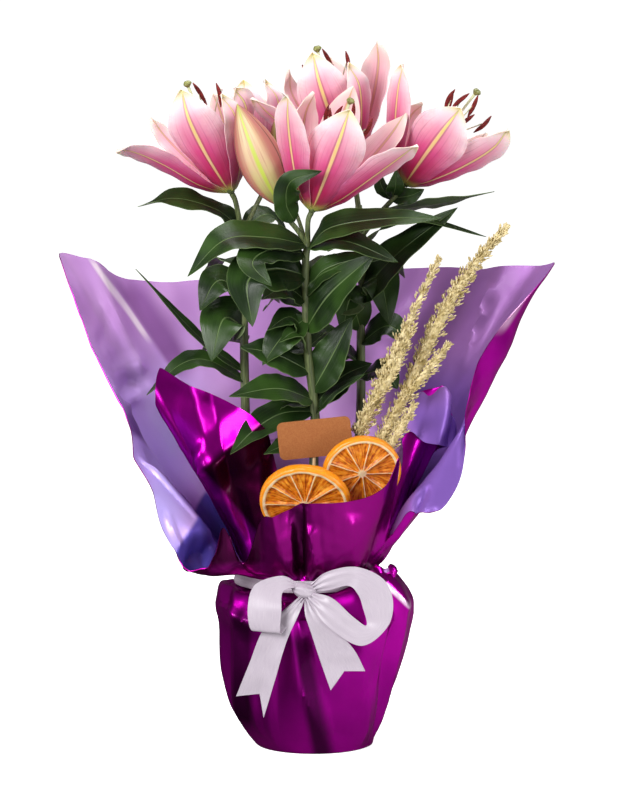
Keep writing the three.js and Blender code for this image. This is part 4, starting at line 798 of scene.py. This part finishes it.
def bloom(which, foot, axis, tepals):
    axis, way_out, place = round_axis_of(foot, axis)
    pieces = [tube("heart", [place(0, 0, h) for h in (0.3, 5, 12)], [2.6, 5, 6.2], 16, 8, stem_skin)]
    for k, (angle, out, up, width, turn, *arches) in enumerate(tepals):
        further, ruffle = (0, 0.8) if k < 3 else (2.6, 0.5)
        arch = arches[0] if arches else 0
        line = [place(angle, 2.5, 1.5), place(angle, 10 + further + out * 0.14, up * 0.19 + arch * 0.4),
                place(angle, 19 + further + out * 0.3, up * 0.48 + arch),
                place(angle, 19 + further + out * 0.56, up * 0.78 + arch * 0.8),
                place(angle, out + further, up)]
        pieces.append(blade("tepal", line, width, -way_out(angle + turn) + 0.7 * axis, tepal_outline, 32, 16,
                            [tepal_inside, tepal_outside], 0.7,
                            cup=lambda t: 1 / (8 + further + out * 0.3 + 60 * t * t),
                            ruffle=ruffle, curl=3.0, seed=k + 3 * which))
    return settle(join(f"bloom_{which}_live", pieces), f"bloom_{which}")


def stamens(which, foot, axis, reach):
    """The pistil with its three-sided stigma, and six stamens round it."""
    axis, way_out, place = round_axis_of(foot, axis)
    high = 99 * reach
    style = [place(0, 0, 14), place(0, 0, high * 0.56), place(0, 2, high)]
    stigma = [place(0, 2, high + h) for h in (-1, 2, 4.5)]
    pieces = [tube("disc", [place(0, 0, h) for h in (12.4, 14, 16)], [2, 2], 12, 4, filament_skin),
              tube("style", style, [1.0, 0.9, 1.3], 10, 24, filament_skin),
              tube("stigma", stigma, [1.2, 3.6, 2.2], 24, 12, stigma_skin,
                   shape=lambda turn, t: 1 + 0.12 * np.cos(3 * turn) * np.minimum(3 * t, 1))]
    for k, out in enumerate([11, 20, 11, 18, 13, 13]):
        angle, end = 30 + 60 * k, (76 + 6 * (k % 3)) * reach
        filament = [place(angle, 1.2, 14), place(angle, 4, 52 * reach), place(angle, out, end)]
        pieces.append(tube("filament", filament, [0.8, 0.65, 0.5], 8, 20, filament_skin))
        lie = 10.5 * unit(axis * 0.93 + way_out(angle + 60) * 0.36)
        middle = place(angle, out + 0.8, end)
        anther = [middle - lie, middle + way_out(angle) * 1.2, middle + lie]
        pieces.append(tube("anther", anther, [0.5, 2.0, 2.3, 2.0, 0.5], 12, 20, anther_dust,
                           shape=lambda turn, t: 1 - 0.22 * np.cos(2 * turn)))
    return settle(join(f"stamens_{which}_live", pieces), f"stamens_{which}")


def bud(name, foot, way, radius):
    foot, way = np.array(foot, float), np.array(way, float)
    _, way_out, _ = round_axis_of(foot, way)
    ts = shares(48)
    body = radius * np.maximum(held(np.sin(math.pi * ts**0.85)) ** 0.85, 0.001)
    body = np.maximum(body, radius * 0.14 * np.minimum(1, np.minimum(ts, 1 - ts) * 9))
    turns = np.linspace(0, 360, 61)
    seam = 1 - 0.035 * (1 + cos_of(3 * turns + 30)) ** 2
    rib = 1 + 0.03 * held(cos_of(3 * turns + 210)) ** 8
    out = np.stack([way_out(one) for one in turns])
    places = foot + way * ts[:, None, None] + (body[:, None] * seam * rib)[..., None] * out[None]
    return settle(cloth_grid(name + "_live", places, [bud_skins[name]], closed=True), name)


# Film.

NECK_X, NECK_RADIUS, NECK_Z, NECK_HALF = -8, 57, 145, 6
NECK_PLEATS, NECK_PLEAT = 16, 1.2
INNER_NECK_RADIUS, INNER_NECK_Z = 50, 147
SHOULDER_Z = 108
# The pot inside the bag: its radius at the foot, how much wider its wall gets, the radius of its lip, where
# the lip starts, how high the pot is, and the room between it and the film.
POT_FOOT, POT_FLARE, POT_LIP, LIP_Z, POT_TOP, POT_ROOM = 46, 30, 78.6, 106, 118, 2.8


def around(values, us):
    """Smooth between the ribs, which close round: values is ribs by rows by three."""
    k = np.floor(us).astype(int)
    a, b, c, d = (values[(k + step) % len(values)] for step in (-1, 0, 1, 2))
    return between_points(a, b, c, d, (us - k)[:, None, None])


def rib_angles(ribs, us):
    angles = np.array([rib[0] for rib in ribs] + [ribs[0][0] + 360], float)
    return np.interp(us, np.arange(len(ribs) + 1), angles)


def flare(ribs, radius, z, us, vs):
    """The sheet above its neck, rows by columns by three."""
    lines = [along([at_angle(NECK_X, radius, angle, z), *line], vs) for angle, *line in ribs]
    return around(np.stack(lines), us).transpose(1, 0, 2)


def normals_of(places):
    """Outward normals of a sheet that closes round, rows by columns."""
    round_way = np.roll(places, -1, axis=1) - np.roll(places, 1, axis=1)
    up_way = np.gradient(places, axis=0)
    return unit(np.cross(round_way, up_way))


def drawn_out(places, corner, vector, reach):
    """Draws a rounded corner of a sheet out to a point."""
    near = held(1 - np.linalg.norm(places - np.array(corner, float), axis=-1) / reach) ** 3
    return places + near[..., None] * np.array(vector, float)


def off_line(x, z, line):
    """How far points of the front view lie from a line of points, and which share of the line is nearest."""
    best = np.full(x.shape, 1e9)
    share = np.zeros(x.shape)
    for k in range(len(line) - 1):
        (ax, az), (bx, bz) = line[k], line[k + 1]
        long_x, long_z = bx - ax, bz - az
        t = held(((x - ax) * long_x + (z - az) * long_z) / (long_x**2 + long_z**2))
        distance = np.hypot(x - ax - t * long_x, z - az - t * long_z)
        share = np.where(distance < best, (k + t) / (len(line) - 1), share)
        best = np.minimum(best, distance)
    return best, share


def creased(places, out, angle, creases):
    """Adds the creases that are seen from the front."""
    raised = np.zeros(places.shape[:2])
    for line, (low, high), wide, deep, sharp, *whole in creases:
        turn = (angle - low) % 360
        on_ribs = held(turn / 6) * held((high - low - turn) / 6) * (turn < high - low)
        distance, share = off_line(places[..., 0], places[..., 2], line)
        fade = 1 if whole else held(share * 5) * held((1 - share) * 5)
        raised += on_ribs[None, :] * held(1 - distance / wide) ** sharp * fade * deep
    return places + raised[..., None] * out


def opened(places, angle, folds, start):
    """Adds the folds that open towards the edge; start is the first row above the neck."""
    table = np.array(folds, float)
    deep = np.interp(angle, table[:, 0], table[:, 1])
    deep = (np.roll(deep, 1) + 2 * deep + np.roll(deep, -1)) / 4
    share = held((np.arange(len(places)) - start) / (len(places) - 1 - start))
    return places + (share[:, None] ** 0.8 * deep[None, :])[..., None] * normals_of(places)


# Creases: a line in the front view, the ribs it lies on from one angle to another, its half width, how far it
# stands out on the magenta side, and how sharp it is. A last True keeps it from fading at its ends.
BACK_CREASES = [
    ([(-184, 332), (-176, 350), (-176, 372)], (140, 182), 12, 3, 1.3),
    ([(-172, 316), (-152, 319), (-134, 323)], (140, 190), 12, -2.5, 1.3),
    ([(-168, 300), (-150, 304), (-134, 308)], (140, 192), 12, 3.5, 1.3),
    ([(-166, 288), (-148, 290), (-134, 297)], (150, 196), 6, -3, 1.0),
    ([(-158, 270), (-138, 248), (-110, 220), (-84, 193)], (184, 234), 14, 7, 1.3),
    ([(-124, 212), (-112, 178)], (200, 246), 5, -3, 1.0),
    ([(152, 386), (141, 350), (124, 300)], (392, 440), 8, -4, 1.0),
]
FRONT_CREASES = [
    ([(-12, 218), (-13, 190), (-12, 160)], (250, 290), 6, -5, 1.0, True),
    ([(-20, 214), (-22, 190), (-20, 160)], (250, 290), 8, 3, 1.3),
    ([(-4, 204), (-2, 184), (4, 160)], (255, 300), 6, 3.5, 1.0),
    ([(30, 214), (32, 190), (28, 160)], (280, 312), 18, 2.5, 1.3),
    ([(-112, 163), (-97, 176), (-86, 172)], (222, 246), 17, 7, 1.3),
    ([(60, 160), (84, 190), (104, 214)], (320, 356), 7, -5, 1.3),
    ([(58, 172), (80, 206), (96, 232)], (320, 356), 7, 5, 1.3),
]
BAG_CREASES = [
    ([(38, 160), (60, 146), (72, 132), (84, 112)], (300, 352), 6, 3, 1.0),
    ([(50, 158), (66, 152), (80, 142)], (300, 356), 5, -3, 1.0),
    ([(-84, 132), (-66, 118), (-40, 108)], (190, 260), 7, 2.5, 1.0),
    ([(-60, 70), (-52, 40), (-44, 12)], (190, 262), 5, 2, 1.0),
]
INNER_CREASES = [
    ([(-112, 226), (-99, 234), (-78, 252), (-45, 276), (-30, 290)], (200, 254), 24, 9, 1.3),
    ([(-103, 240), (-98, 248), (-92, 262)], (196, 240), 5, 3, 0.8),
    ([(-104, 250), (-92, 230), (-74, 200), (-58, 178)], (196, 236), 7, 2.5, 1.0),
]
# Folds that run up from the neck and open towards the edge: the angle, and how far it stands out at the edge.
OUTER_FOLDS = [
    (90, 1), (104, -3), (118, 3), (126, -2), (134, 7), (139, 4), (143, -2), (147, -7), (150, 0), (155, 3),
    (163, 0), (200, 0), (368, 0), (384, 2), (394, -2), (402, 4), (409, -6), (412, 0), (416, 5), (422, -2),
    (430, 4), (440, -3), (450, 1),
]
INNER_FOLDS = [
    (90, 0), (180, 0), (190, 2), (197, -3), (205, 1), (212, 5), (219, -4), (228, 0), (238, 2), (246, 0),
    (318, 0), (326, 3), (333, -3), (341, 3), (350, -2), (358, 3), (366, -2), (380, 0), (450, 0),
]
# Folds of the bag round the pot, where the film turns from one flat panel to the next: the angle at the
# shoulder, half way and at the foot, and how far each fold stands out there.
BAG_FOLDS = [
    (172, 174, 176, 0, 2, 1), (192, 186, 183, -1, 2, 1), (208, 199, 190, -4, -10, -6),
    (218, 211, 198, 3, 5, 4), (233, 228, 222, 0, 0, 1), (243, 240, 234, 2, 3, 3),
    (250, 246, 240, -1, -2, -1), (255, 260, 277, 4, 5, 3), (264, 272, 291, -4, -8, -4),
    (299, 302, 320, 4.5, 5, 4), (316, 315, 330, 3, 3, 1.5), (324, 325, 339, -4, -8, -3),
    (334, 336, 348, 3, 4, 2), (350, 352, 358, -1, -3, -1), (364, 366, 370, 2, 3, 2),
    (384, 385, 386, -2.5, -5, -1), (398, 400, 400, 3, 3, 2.5), (426, 425, 424, -2.5, -5, -1.5),
    (440, 440, 440, 3, 3, 2.5), (468, 470, 472, -2.5, -5, -2), (482, 484, 486, 3, 3, 2.5),
    (508, 510, 512, -2, -4, -1),
]
FOLD_HEIGHTS = [12, 65, 125]


def bag_ring(angle, height, radius, sag):
    """How far out the bag is at each angle: flat panels between its folds, a little rounded."""
    calm = min(1.0, max(0.0, (height - 2) / 14))
    # The columns of the table start at the shoulder, and the heights at the foot.
    at = np.array([np.interp(height, FOLD_HEIGHTS, row[2::-1]) for row in BAG_FOLDS], float)
    deep = np.array([np.interp(height, FOLD_HEIGHTS, row[:2:-1]) for row in BAG_FOLDS], float)
    stands = radius - sag * cos_of(at) + calm * deep
    at, stands = np.append(at, at[0] + 360), np.append(stands, stands[0])
    turn = (angle - at[0]) % 360 + at[0]
    k = np.clip(np.searchsorted(at, turn, side="right") - 1, 0, len(BAG_FOLDS) - 1)
    a, b = stands[k], stands[k + 1]
    before, after = np.radians(turn - at[k]), np.radians(at[k + 1] - turn)
    flat = a * b * np.sin(before + after) / (a * np.sin(before) + b * np.sin(after))
    bowed = a + (b - a) * before / (before + after)
    mixed = bowed + 0.8 * calm * (flat - bowed)
    for _ in range(2):
        mixed = (np.roll(mixed, 1) + 2 * mixed + np.roll(mixed, -1)) / 4
    pot = POT_LIP if height > LIP_Z else POT_FOOT + POT_FLARE * height / POT_TOP
    return np.maximum(mixed, (pot + POT_ROOM) if 1 < height < POT_TOP + 1 else 0)


def film_sheet(name, places, finishes):
    """Closes a sheet round, gives it its thickness and settles it."""
    places = np.concatenate([places, places[:, :1]], axis=1)
    piece = cloth_grid(name + "_live", places, finishes, closed=True)
    thicken(piece, FILM)
    return settle(piece, name, angle=35)


def film_outer():
    """The bag from the middle of its floor up to the neck, and from there the tall back and the low front."""
    columns, flare_rows, bag_rows, neck_rows = 368, 60, 50, 6
    us = np.linspace(0, len(OUTER_RIBS), columns, endpoint=False)
    angle = rib_angles(OUTER_RIBS, us)
    rings = []
    for z, radius, sag, left, right in along(BAG, shares(bag_rows)):
        z = max(z, FILM / 2)
        x = NECK_X * max(0, (z - SHOULDER_Z) / (NECK_Z - SHOULDER_Z))
        rise = (left * held(cos_of(angle - LEFT_SHOULDER)) ** 2
                + right * held(cos_of(angle - RIGHT_SHOULDER)) ** 4)
        rings.append(at_angle(x, bag_ring(angle, z, radius, sag), angle, z + rise))
    pleated = NECK_RADIUS + NECK_PLEAT * cos_of(NECK_PLEATS * angle)
    heights = NECK_Z + np.linspace(-NECK_HALF, NECK_HALF, neck_rows)
    neck = [at_angle(NECK_X, pleated, angle, height) for height in heights]
    high = flare(OUTER_RIBS, NECK_RADIUS, NECK_Z + NECK_HALF, us, shares(flare_rows)[1:])
    high = drawn_out(high, (-213, 52, 411), (-4, 0, 3), 30)
    high = drawn_out(high, (202, 64, 400), (3, 0, 5), 26)
    middle = np.zeros((1, columns, 3)) + np.array([0, 0, FILM / 2])
    places = np.concatenate([middle, np.stack(rings), np.stack(neck), high])
    out = normals_of(places)
    out[0] = (0, 0, -1)
    heights = places[..., 2]
    in_neck = np.abs(heights - NECK_Z) < NECK_HALF + 1
    calm = held((heights - 4) / 14) * np.where(in_neck, 0.25, 1)
    ripple = 0.8 * soft_noise(places, 30.0) + 0.25 * soft_noise(places, 9.0, 5.0)
    above = np.exp(-((heights - NECK_Z - 7) / 16) ** 2) * (heights > NECK_Z + 5)
    gathers = above * 1.8 * cos_of(30 * angle + 40 * sin_of(3 * angle))
    places = places + (calm * (ripple + gathers))[..., None] * out
    bag_end = 1 + len(rings) + neck_rows
    places = opened(places, angle, OUTER_FOLDS, bag_end)
    places = np.concatenate([creased(places[:bag_end], out[:bag_end], angle, BAG_CREASES),
                             creased(places[bag_end:], out[bag_end:], angle, BACK_CREASES + FRONT_CREASES)])
    places[..., 2] = np.maximum(places[..., 2], FILM / 2)
    return film_sheet("film_outer", places, [film_magenta, film_lilac])


def film_inner():
    """The smaller sheet, from a ring on the soil up to its edge."""
    us = np.linspace(0, len(INNER_RIBS), 240, endpoint=False)
    angle = rib_angles(INNER_RIBS, us)
    foot = np.stack([at_angle(NECK_X / 2, radius, angle, z)
                     for radius, z in zip(np.linspace(64, 57, 5), np.linspace(109.3, 127.3, 5))])
    high = flare(INNER_RIBS, INNER_NECK_RADIUS, INNER_NECK_Z, us, shares(56))
    high = drawn_out(high, (-127, -24, 320), (-3, 0, 6), 26)
    high = drawn_out(high, (106, -6, 303), (2, 0, 5), 22)
    places = opened(np.concatenate([foot, high]), angle, INNER_FOLDS, len(foot))
    out = normals_of(places)
    ripple = 0.7 * soft_noise(places, 26.0, 3.0) + 0.25 * soft_noise(places, 9.0, 9.0)
    places = places + (held((places[..., 2] - 118) / 30) * ripple)[..., None] * out
    places = creased(places, out, angle, INNER_CREASES)
    return film_sheet("film_inner", places, [film_inner_magenta, film_lilac])


# Ribbon.

def ribbon_strip(one_edge, other_edge, steps=90, notch=None):
    """A strip between two edges. It is gathered where it leaves the knot, and notch cuts a swallow tail."""
    a, b = along(one_edge, shares(steps)), along(other_edge, shares(steps))
    s = shares(16)[None, :, None]
    places = a[:, None] * (1 - s) + b[:, None] * s
    t = shares(steps)[:, None]
    if notch:
        left, deepest, right = (np.array([x, 0, z], float) for x, z in notch)
        cut = np.where(s[0] < 0.5, left + (deepest - left) * 2 * s[0],
                       deepest + (right - deepest) * (2 * s[0] - 1))
        cut[:, 1] = places[-1][:, 1]
        places = places + (held((t - 0.35) / 0.65) ** 1.5)[..., None] * (cut - places[-1])[None]
    out = unit(np.cross(np.gradient(places, axis=1), np.gradient(places, axis=0)))
    across = s[..., 0]
    near = np.exp(-t * 9) if notch else np.exp(-np.minimum(t, 1 - t) * 14)
    lift = 1.6 * near * np.cos(2 * math.pi * 2.6 * across + 0.7)
    lift = lift + 0.5 * np.sin(math.pi * across) + 0.7 * soft_noise(places, 16.0, 4.0)
    piece = cloth_grid("strip", places + lift[..., None] * out, [satin])
    thicken(piece, 0.7)
    return piece


def ribbon_band():
    """The gathered ribbon round the neck: its gathers run round it."""
    turns = np.linspace(0, 360, 241)
    inner = NECK_RADIUS + NECK_PLEAT + FILM / 2 + GAP + 0.3
    s = shares(12)[:, None]
    bulge = inner + 0.9 + 0.35 * np.sin(3 * math.pi * s + 0.6 * sin_of(3 * turns)[None, :])
    places = at_angle(NECK_X, bulge, turns[None, :] + 0 * s, NECK_Z - 5 + 10 * s + 0 * turns[None, :])
    piece = cloth_grid("ribbon_band_live", places, [satin], closed=True)
    thicken(piece, 0.8)
    return settle(piece, "ribbon_band")


def ribbon_knot():
    """The knot is a short wrap of the ribbon with a few deep gathers, wider than it is high."""
    turns, ts = np.linspace(0, 360, 49), shares(28)
    bulge = np.sin(math.pi * np.clip(ts, 0.02, 0.98)) ** 0.45
    sideways = ((ts - 0.5) * 21)[:, None]
    gathers = 1 + 0.11 * cos_of(7 * turns)[None, :] * (0.6 + 0.4 * np.cos(2 * math.pi * ts))[:, None]
    deep = 8.4 * bulge[:, None] * gathers * cos_of(turns)[None, :]
    high = 7.2 * bulge[:, None] * gathers * sin_of(turns)[None, :]
    local = np.stack([sideways + 0 * deep - 0.2 * high, deep, high - 0.16 * sideways], axis=-1)
    wrap = cloth_grid("knot", np.array([-9.0, -80.5, 145.5]) + local, [satin], closed=True)
    back = tube("knot_back", KNOT_BACK, [3.4, 4.4, 5.0], 24, 12, satin)
    return settle(join("ribbon_knot_live", [wrap, back]), "ribbon_bow")


def ribbon_bow():
    strips = [ribbon_strip(*edges) for edges in LOOPS]
    strips += [ribbon_strip(*edges, steps=50, notch=notch) for *edges, notch in TAILS]
    return settle(join("ribbon_bow_live", strips), "ribbon_bow")


# Dried stuff.

def amaranth(name, stalk, heads):
    """A spike: a stalk, and a core under a coat of grains for each head."""
    pieces = [tube("stalk", stalk, [1.4, 1.4, 1.6], 10, 40, straw)]
    for h, (line, r) in enumerate(heads):
        radii = [r * share for share in (0.4, 0.6, 0.58, 0.36, 0.12)]
        pieces.append(tube("core", line, radii, 12, 40, grain_skin))
        length = np.linalg.norm(np.diff(np.array(line, float), axis=0), axis=1).sum()
        object_mode()
        bpy.ops.mesh.primitive_ico_sphere_add(subdivisions=1, radius=MM)
        seed = bpy.context.object
        seed.data.materials.append(grain_skin)
        ts = np.sort(np.array([rng.uniform(0.0, 1.0) for _ in range(int(length * r * 1.15))]))
        centre, course = along(line, ts), heading(line, ts)
        side, up = beside(course)
        for k, t in enumerate(ts):
            thin = 1.0 if t < 0.6 else 1.0 - 0.62 * (t - 0.6) / 0.4
            turn = rng.uniform(0, 2 * math.pi)
            out = side[k] * math.cos(turn) + up[k] * math.sin(turn)
            reach = r * thin * rng.uniform(0.45, 1.25) * (0.95 + 0.25 * math.sin(length * 0.45 * t + 3 * h))
            size = rng.uniform(0.65, 1.25)
            one = seed.copy()
            one.data = seed.data.copy()
            bpy.context.scene.collection.objects.link(one)
            one.location = (centre[k] + out * reach + course[k] * rng.uniform(0, 2)) * MM
            one.rotation_euler = Vector(out * 0.8 + course[k]).to_track_quat("Z", "Y").to_euler()
            one.scale = (size * 0.65, size * 0.65, size * 2.1)
            pieces.append(one)
        bpy.data.objects.remove(seed)
    return settle(join(name + "_live", pieces), name, angle=80)


# The map of a slice runs over one face, the rim and the other face. A face and its half of the rim are this
# many times the radius.
FACE_SHARE = 1.13


def slice_finish(wedges):
    """Dried orange: amber wedges between pale walls, a cream ring and an orange peel."""
    dried = Finish(f"dried_orange_{wedges}", Roughness=0.36, Subsurface_Weight=0.2, Subsurface_Scale=0.003)
    round_it, profile = dried.map_shares()
    mottle = dried.grain(dried.place(), 260.0, 4.0)
    off_middle = abs((round_it * float(wedges)).fraction() - 0.5)
    radius = (1.0 - abs(profile * 2.0 - 1.0)) * FACE_SHARE
    strands = mottle * 0.35 + dried.streaks(90, 6) * 0.65
    flesh = dried.ramp(strands.between(0.32, 0.68), (0.0, "8a3600"), (0.4, "d06e04"), (1.0, "f4a834"))
    wall = off_middle + 0.014 * wedges / 10 / radius.or_more(0.08)
    heart, ring = radius.between(0.14, 0.08), radius.between(0.865, 0.885)
    pith = wall.between(0.475, 0.51).or_more(heart).or_more(ring)
    base = dried.mix(pith * 0.9, flesh, "f2deb0")
    base = dried.mix(radius.between(0.925, 0.95), base, "f29410")
    return dried.done(base, mottle, 0.5, 0.8)


def orange_slice(name, centre, big, thickness, lean, turn, wedges):
    """Sunken wedges between thin walls, on both faces, and a rounded rim."""
    turns = np.linspace(0, 360, 16 * wedges + 1)
    steps = shares(72)
    fold = (1 - np.abs(2 * steps - 1)) * FACE_SHARE
    past = held((fold - 1.0) / (FACE_SHARE - 1.0))
    side = np.where(steps < 0.5, -1, 1) * (1 - past)
    r = (np.minimum(fold, 1.0) + 0.012 * np.sin(math.pi * past / 2))[:, None]
    off_middle = np.abs((turns / 360 * wedges) % 1.0 - 0.5)[None, :]
    pocket = held((r - 0.1) / 0.1) * held((0.89 - r) / 0.05)
    pocket = pocket * held((0.5 - off_middle - 0.05 / np.maximum(r, 0.15) * 0.6) / 0.12)
    rounded = np.where(r > 0.94, 1 - 0.3 * ((np.minimum(r, 1) - 0.94) / 0.06) ** 2, 1.0)
    x = big * r * cos_of(turns)[None, :]
    z = big * r * sin_of(turns)[None, :]
    local = np.stack([x, side[:, None] * thickness / 2 * (rounded - 0.4 * pocket), z], axis=-1)
    local[..., 1] += 0.4 * soft_noise(local, 6.0)
    tip = np.array([[1, 0, 0], [0, cos_of(lean), -sin_of(lean)], [0, sin_of(lean), cos_of(lean)]])
    spin = np.array([[cos_of(turn), -sin_of(turn), 0], [sin_of(turn), cos_of(turn), 0], [0, 0, 1]])
    places = local @ (spin @ tip).T + np.array(centre, float)
    piece = cloth_grid(name + "_live", places, [slice_finish(wedges)], closed=True)
    return settle(piece, name, angle=40)


CARD_AT, CARD_WIDTH, CARD_HEIGHT, CARD_TURN = np.array([0.0, -38.0, 268.0]), 62, 32, 6


def kraft_card():
    object_mode()
    bpy.ops.mesh.primitive_plane_add(size=1, rotation=(math.radians(90), 0, 0))
    piece = bpy.context.object
    piece.name = piece.data.name = "kraft_card_live"
    bpy.ops.transform.resize(value=(CARD_WIDTH * MM, 1, CARD_HEIGHT * MM))
    bpy.ops.object.transform_apply(location=False, rotation=True, scale=True)
    in_edit_mode((bpy.ops.mesh.bevel, {"offset": 5 * MM, "segments": 8, "affect": "VERTICES"}))
    piece.data.materials.append(kraft)
    piece.data.materials.append(kraft_edge)
    modifier(piece, "SOLIDIFY", thickness=0.9 * MM, offset=0, material_offset_rim=1)
    modifier(piece, "BEVEL", width=0.15 * MM, segments=2, limit_method="ANGLE")
    bpy.ops.transform.rotate(value=math.radians(CARD_TURN), orient_axis="Y", center_override=(0, 0, 0))
    bpy.ops.transform.translate(value=tuple(CARD_AT * MM))
    bpy.ops.object.transform_apply(location=True, rotation=True, scale=True)
    return settle(piece, "kraft_card")


# The studio: a white floor, soft lights and a long lens.

LIGHTS = [
    ("key", (-1.5, -2.1, 1.4), 1.4, 82.0), ("fill", (2.3, -0.9, 0.9), 1.0, 26.0),
    ("top", (0.3, 0.4, 2.3), 1.4, 40.0), ("low_right", (1.1, -1.7, 0.16), 0.5, 7.0),
    ("low_left", (-1.9, -0.9, 0.2), 0.4, 9.0),
]
CAMERA_FAR, CAMERA_TURN, SHOWN_HEIGHT, SENSOR = 5, math.radians(8), 0.676, 36


def studio_floor():
    """White to the camera. To every other ray it is painted darker on the left than on the right, a painted
    pool of light that the film reflects.
    """
    object_mode()
    bpy.ops.mesh.primitive_plane_add(size=12)
    floor = bpy.context.object
    floor.name = "floor"
    white = Finish("studio_white", Roughness=0.9, Emission_Color=(1, 1, 1, 1))
    seen = Share(white.made, white.wire("LightPath").outputs["Is Camera Ray"])
    white.into("Emission Strength", seen * 0.85)
    x = Share(white.made, white.wire("SeparateXYZ", [white.place()]).outputs[0])
    # Painted light: the floor seen in reflections goes from dark on the left to light on the right.
    reflected = white.mix(x.between(-0.09, 0.06), "404040", "bcbcbc")
    floor.data.materials.append(white.done(white.mix(seen, reflected, "ffffff")))
    return floor


def studio_light(name, place, size, power):
    bpy.ops.object.light_add(type="AREA", location=place)
    light = bpy.context.object
    light.name = name
    light.data.shape = "DISK"
    light.data.size = size
    light.data.energy = power
    light.rotation_euler = (Vector((0, 0, 0.3)) - light.location).to_track_quat("-Z", "Y").to_euler()
    return light


def studio():
    shown = [studio_floor()] + [studio_light(*one) for one in LIGHTS]
    world = bpy.data.worlds.new("studio")
    world.use_nodes = True
    seen = wire(world, "LightPath").outputs["Is Camera Ray"]
    strength = wire(world, "MapRange", {"Value": seen, "To Min": 0.16, "To Max": 1.1})
    background = world.node_tree.nodes["Background"]
    background.inputs[0].default_value = (1, 1, 1, 1)
    world.node_tree.links.new(strength.outputs[0], background.inputs[1])
    bpy.context.scene.world = world
    place = (-0.005, -CAMERA_FAR * math.cos(CAMERA_TURN), 0.295 + CAMERA_FAR * math.sin(CAMERA_TURN))
    bpy.ops.object.camera_add(location=place, rotation=(math.radians(90) - CAMERA_TURN, 0, 0))
    camera = bpy.context.object
    camera.data.lens = SENSOR * CAMERA_FAR / SHOWN_HEIGHT
    camera.data.sensor_width = SENSOR
    bpy.context.scene.camera = camera
    bpy.context.scene.view_settings.view_transform = "Standard"


# Everything is made in this order.

for name, (stalk, heads) in SPIKES.items():
    amaranth(name, stalk, heads)
for which, leaves in (("front", FRONT_LEAVES), ("left", LEFT_LEAVES), ("right", RIGHT_LEAVES)):
    leafy_stem(which, leaves)
for which, (foot, axis, reach, tepals) in enumerate(BLOOMS, 1):
    bloom(which, foot, axis, tepals)
    stamens(which, foot, axis, reach)
for name, spec in BUDS.items():
    bud(name, *spec)
for name, spec in SLICES.items():
    orange_slice(name, *spec)
kraft_card()
outer_sheet = film_outer()
inner_sheet = film_inner()
band = ribbon_band()
knot = ribbon_knot()
bow = ribbon_bow()
CAD_SHOWN = {
    "pot": pot_plastic, "soil": soil_finish, "bulb_front": bulb_skin, "bulb_left": bulb_skin,
    "bulb_right": bulb_skin, "orange_pick_front": wood, "orange_pick_back": wood, "card_pick": wood,
}
for name, finish in CAD_SHOWN.items():
    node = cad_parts[name]
    node.data.materials.clear()
    node.data.materials.append(finish)
studio()
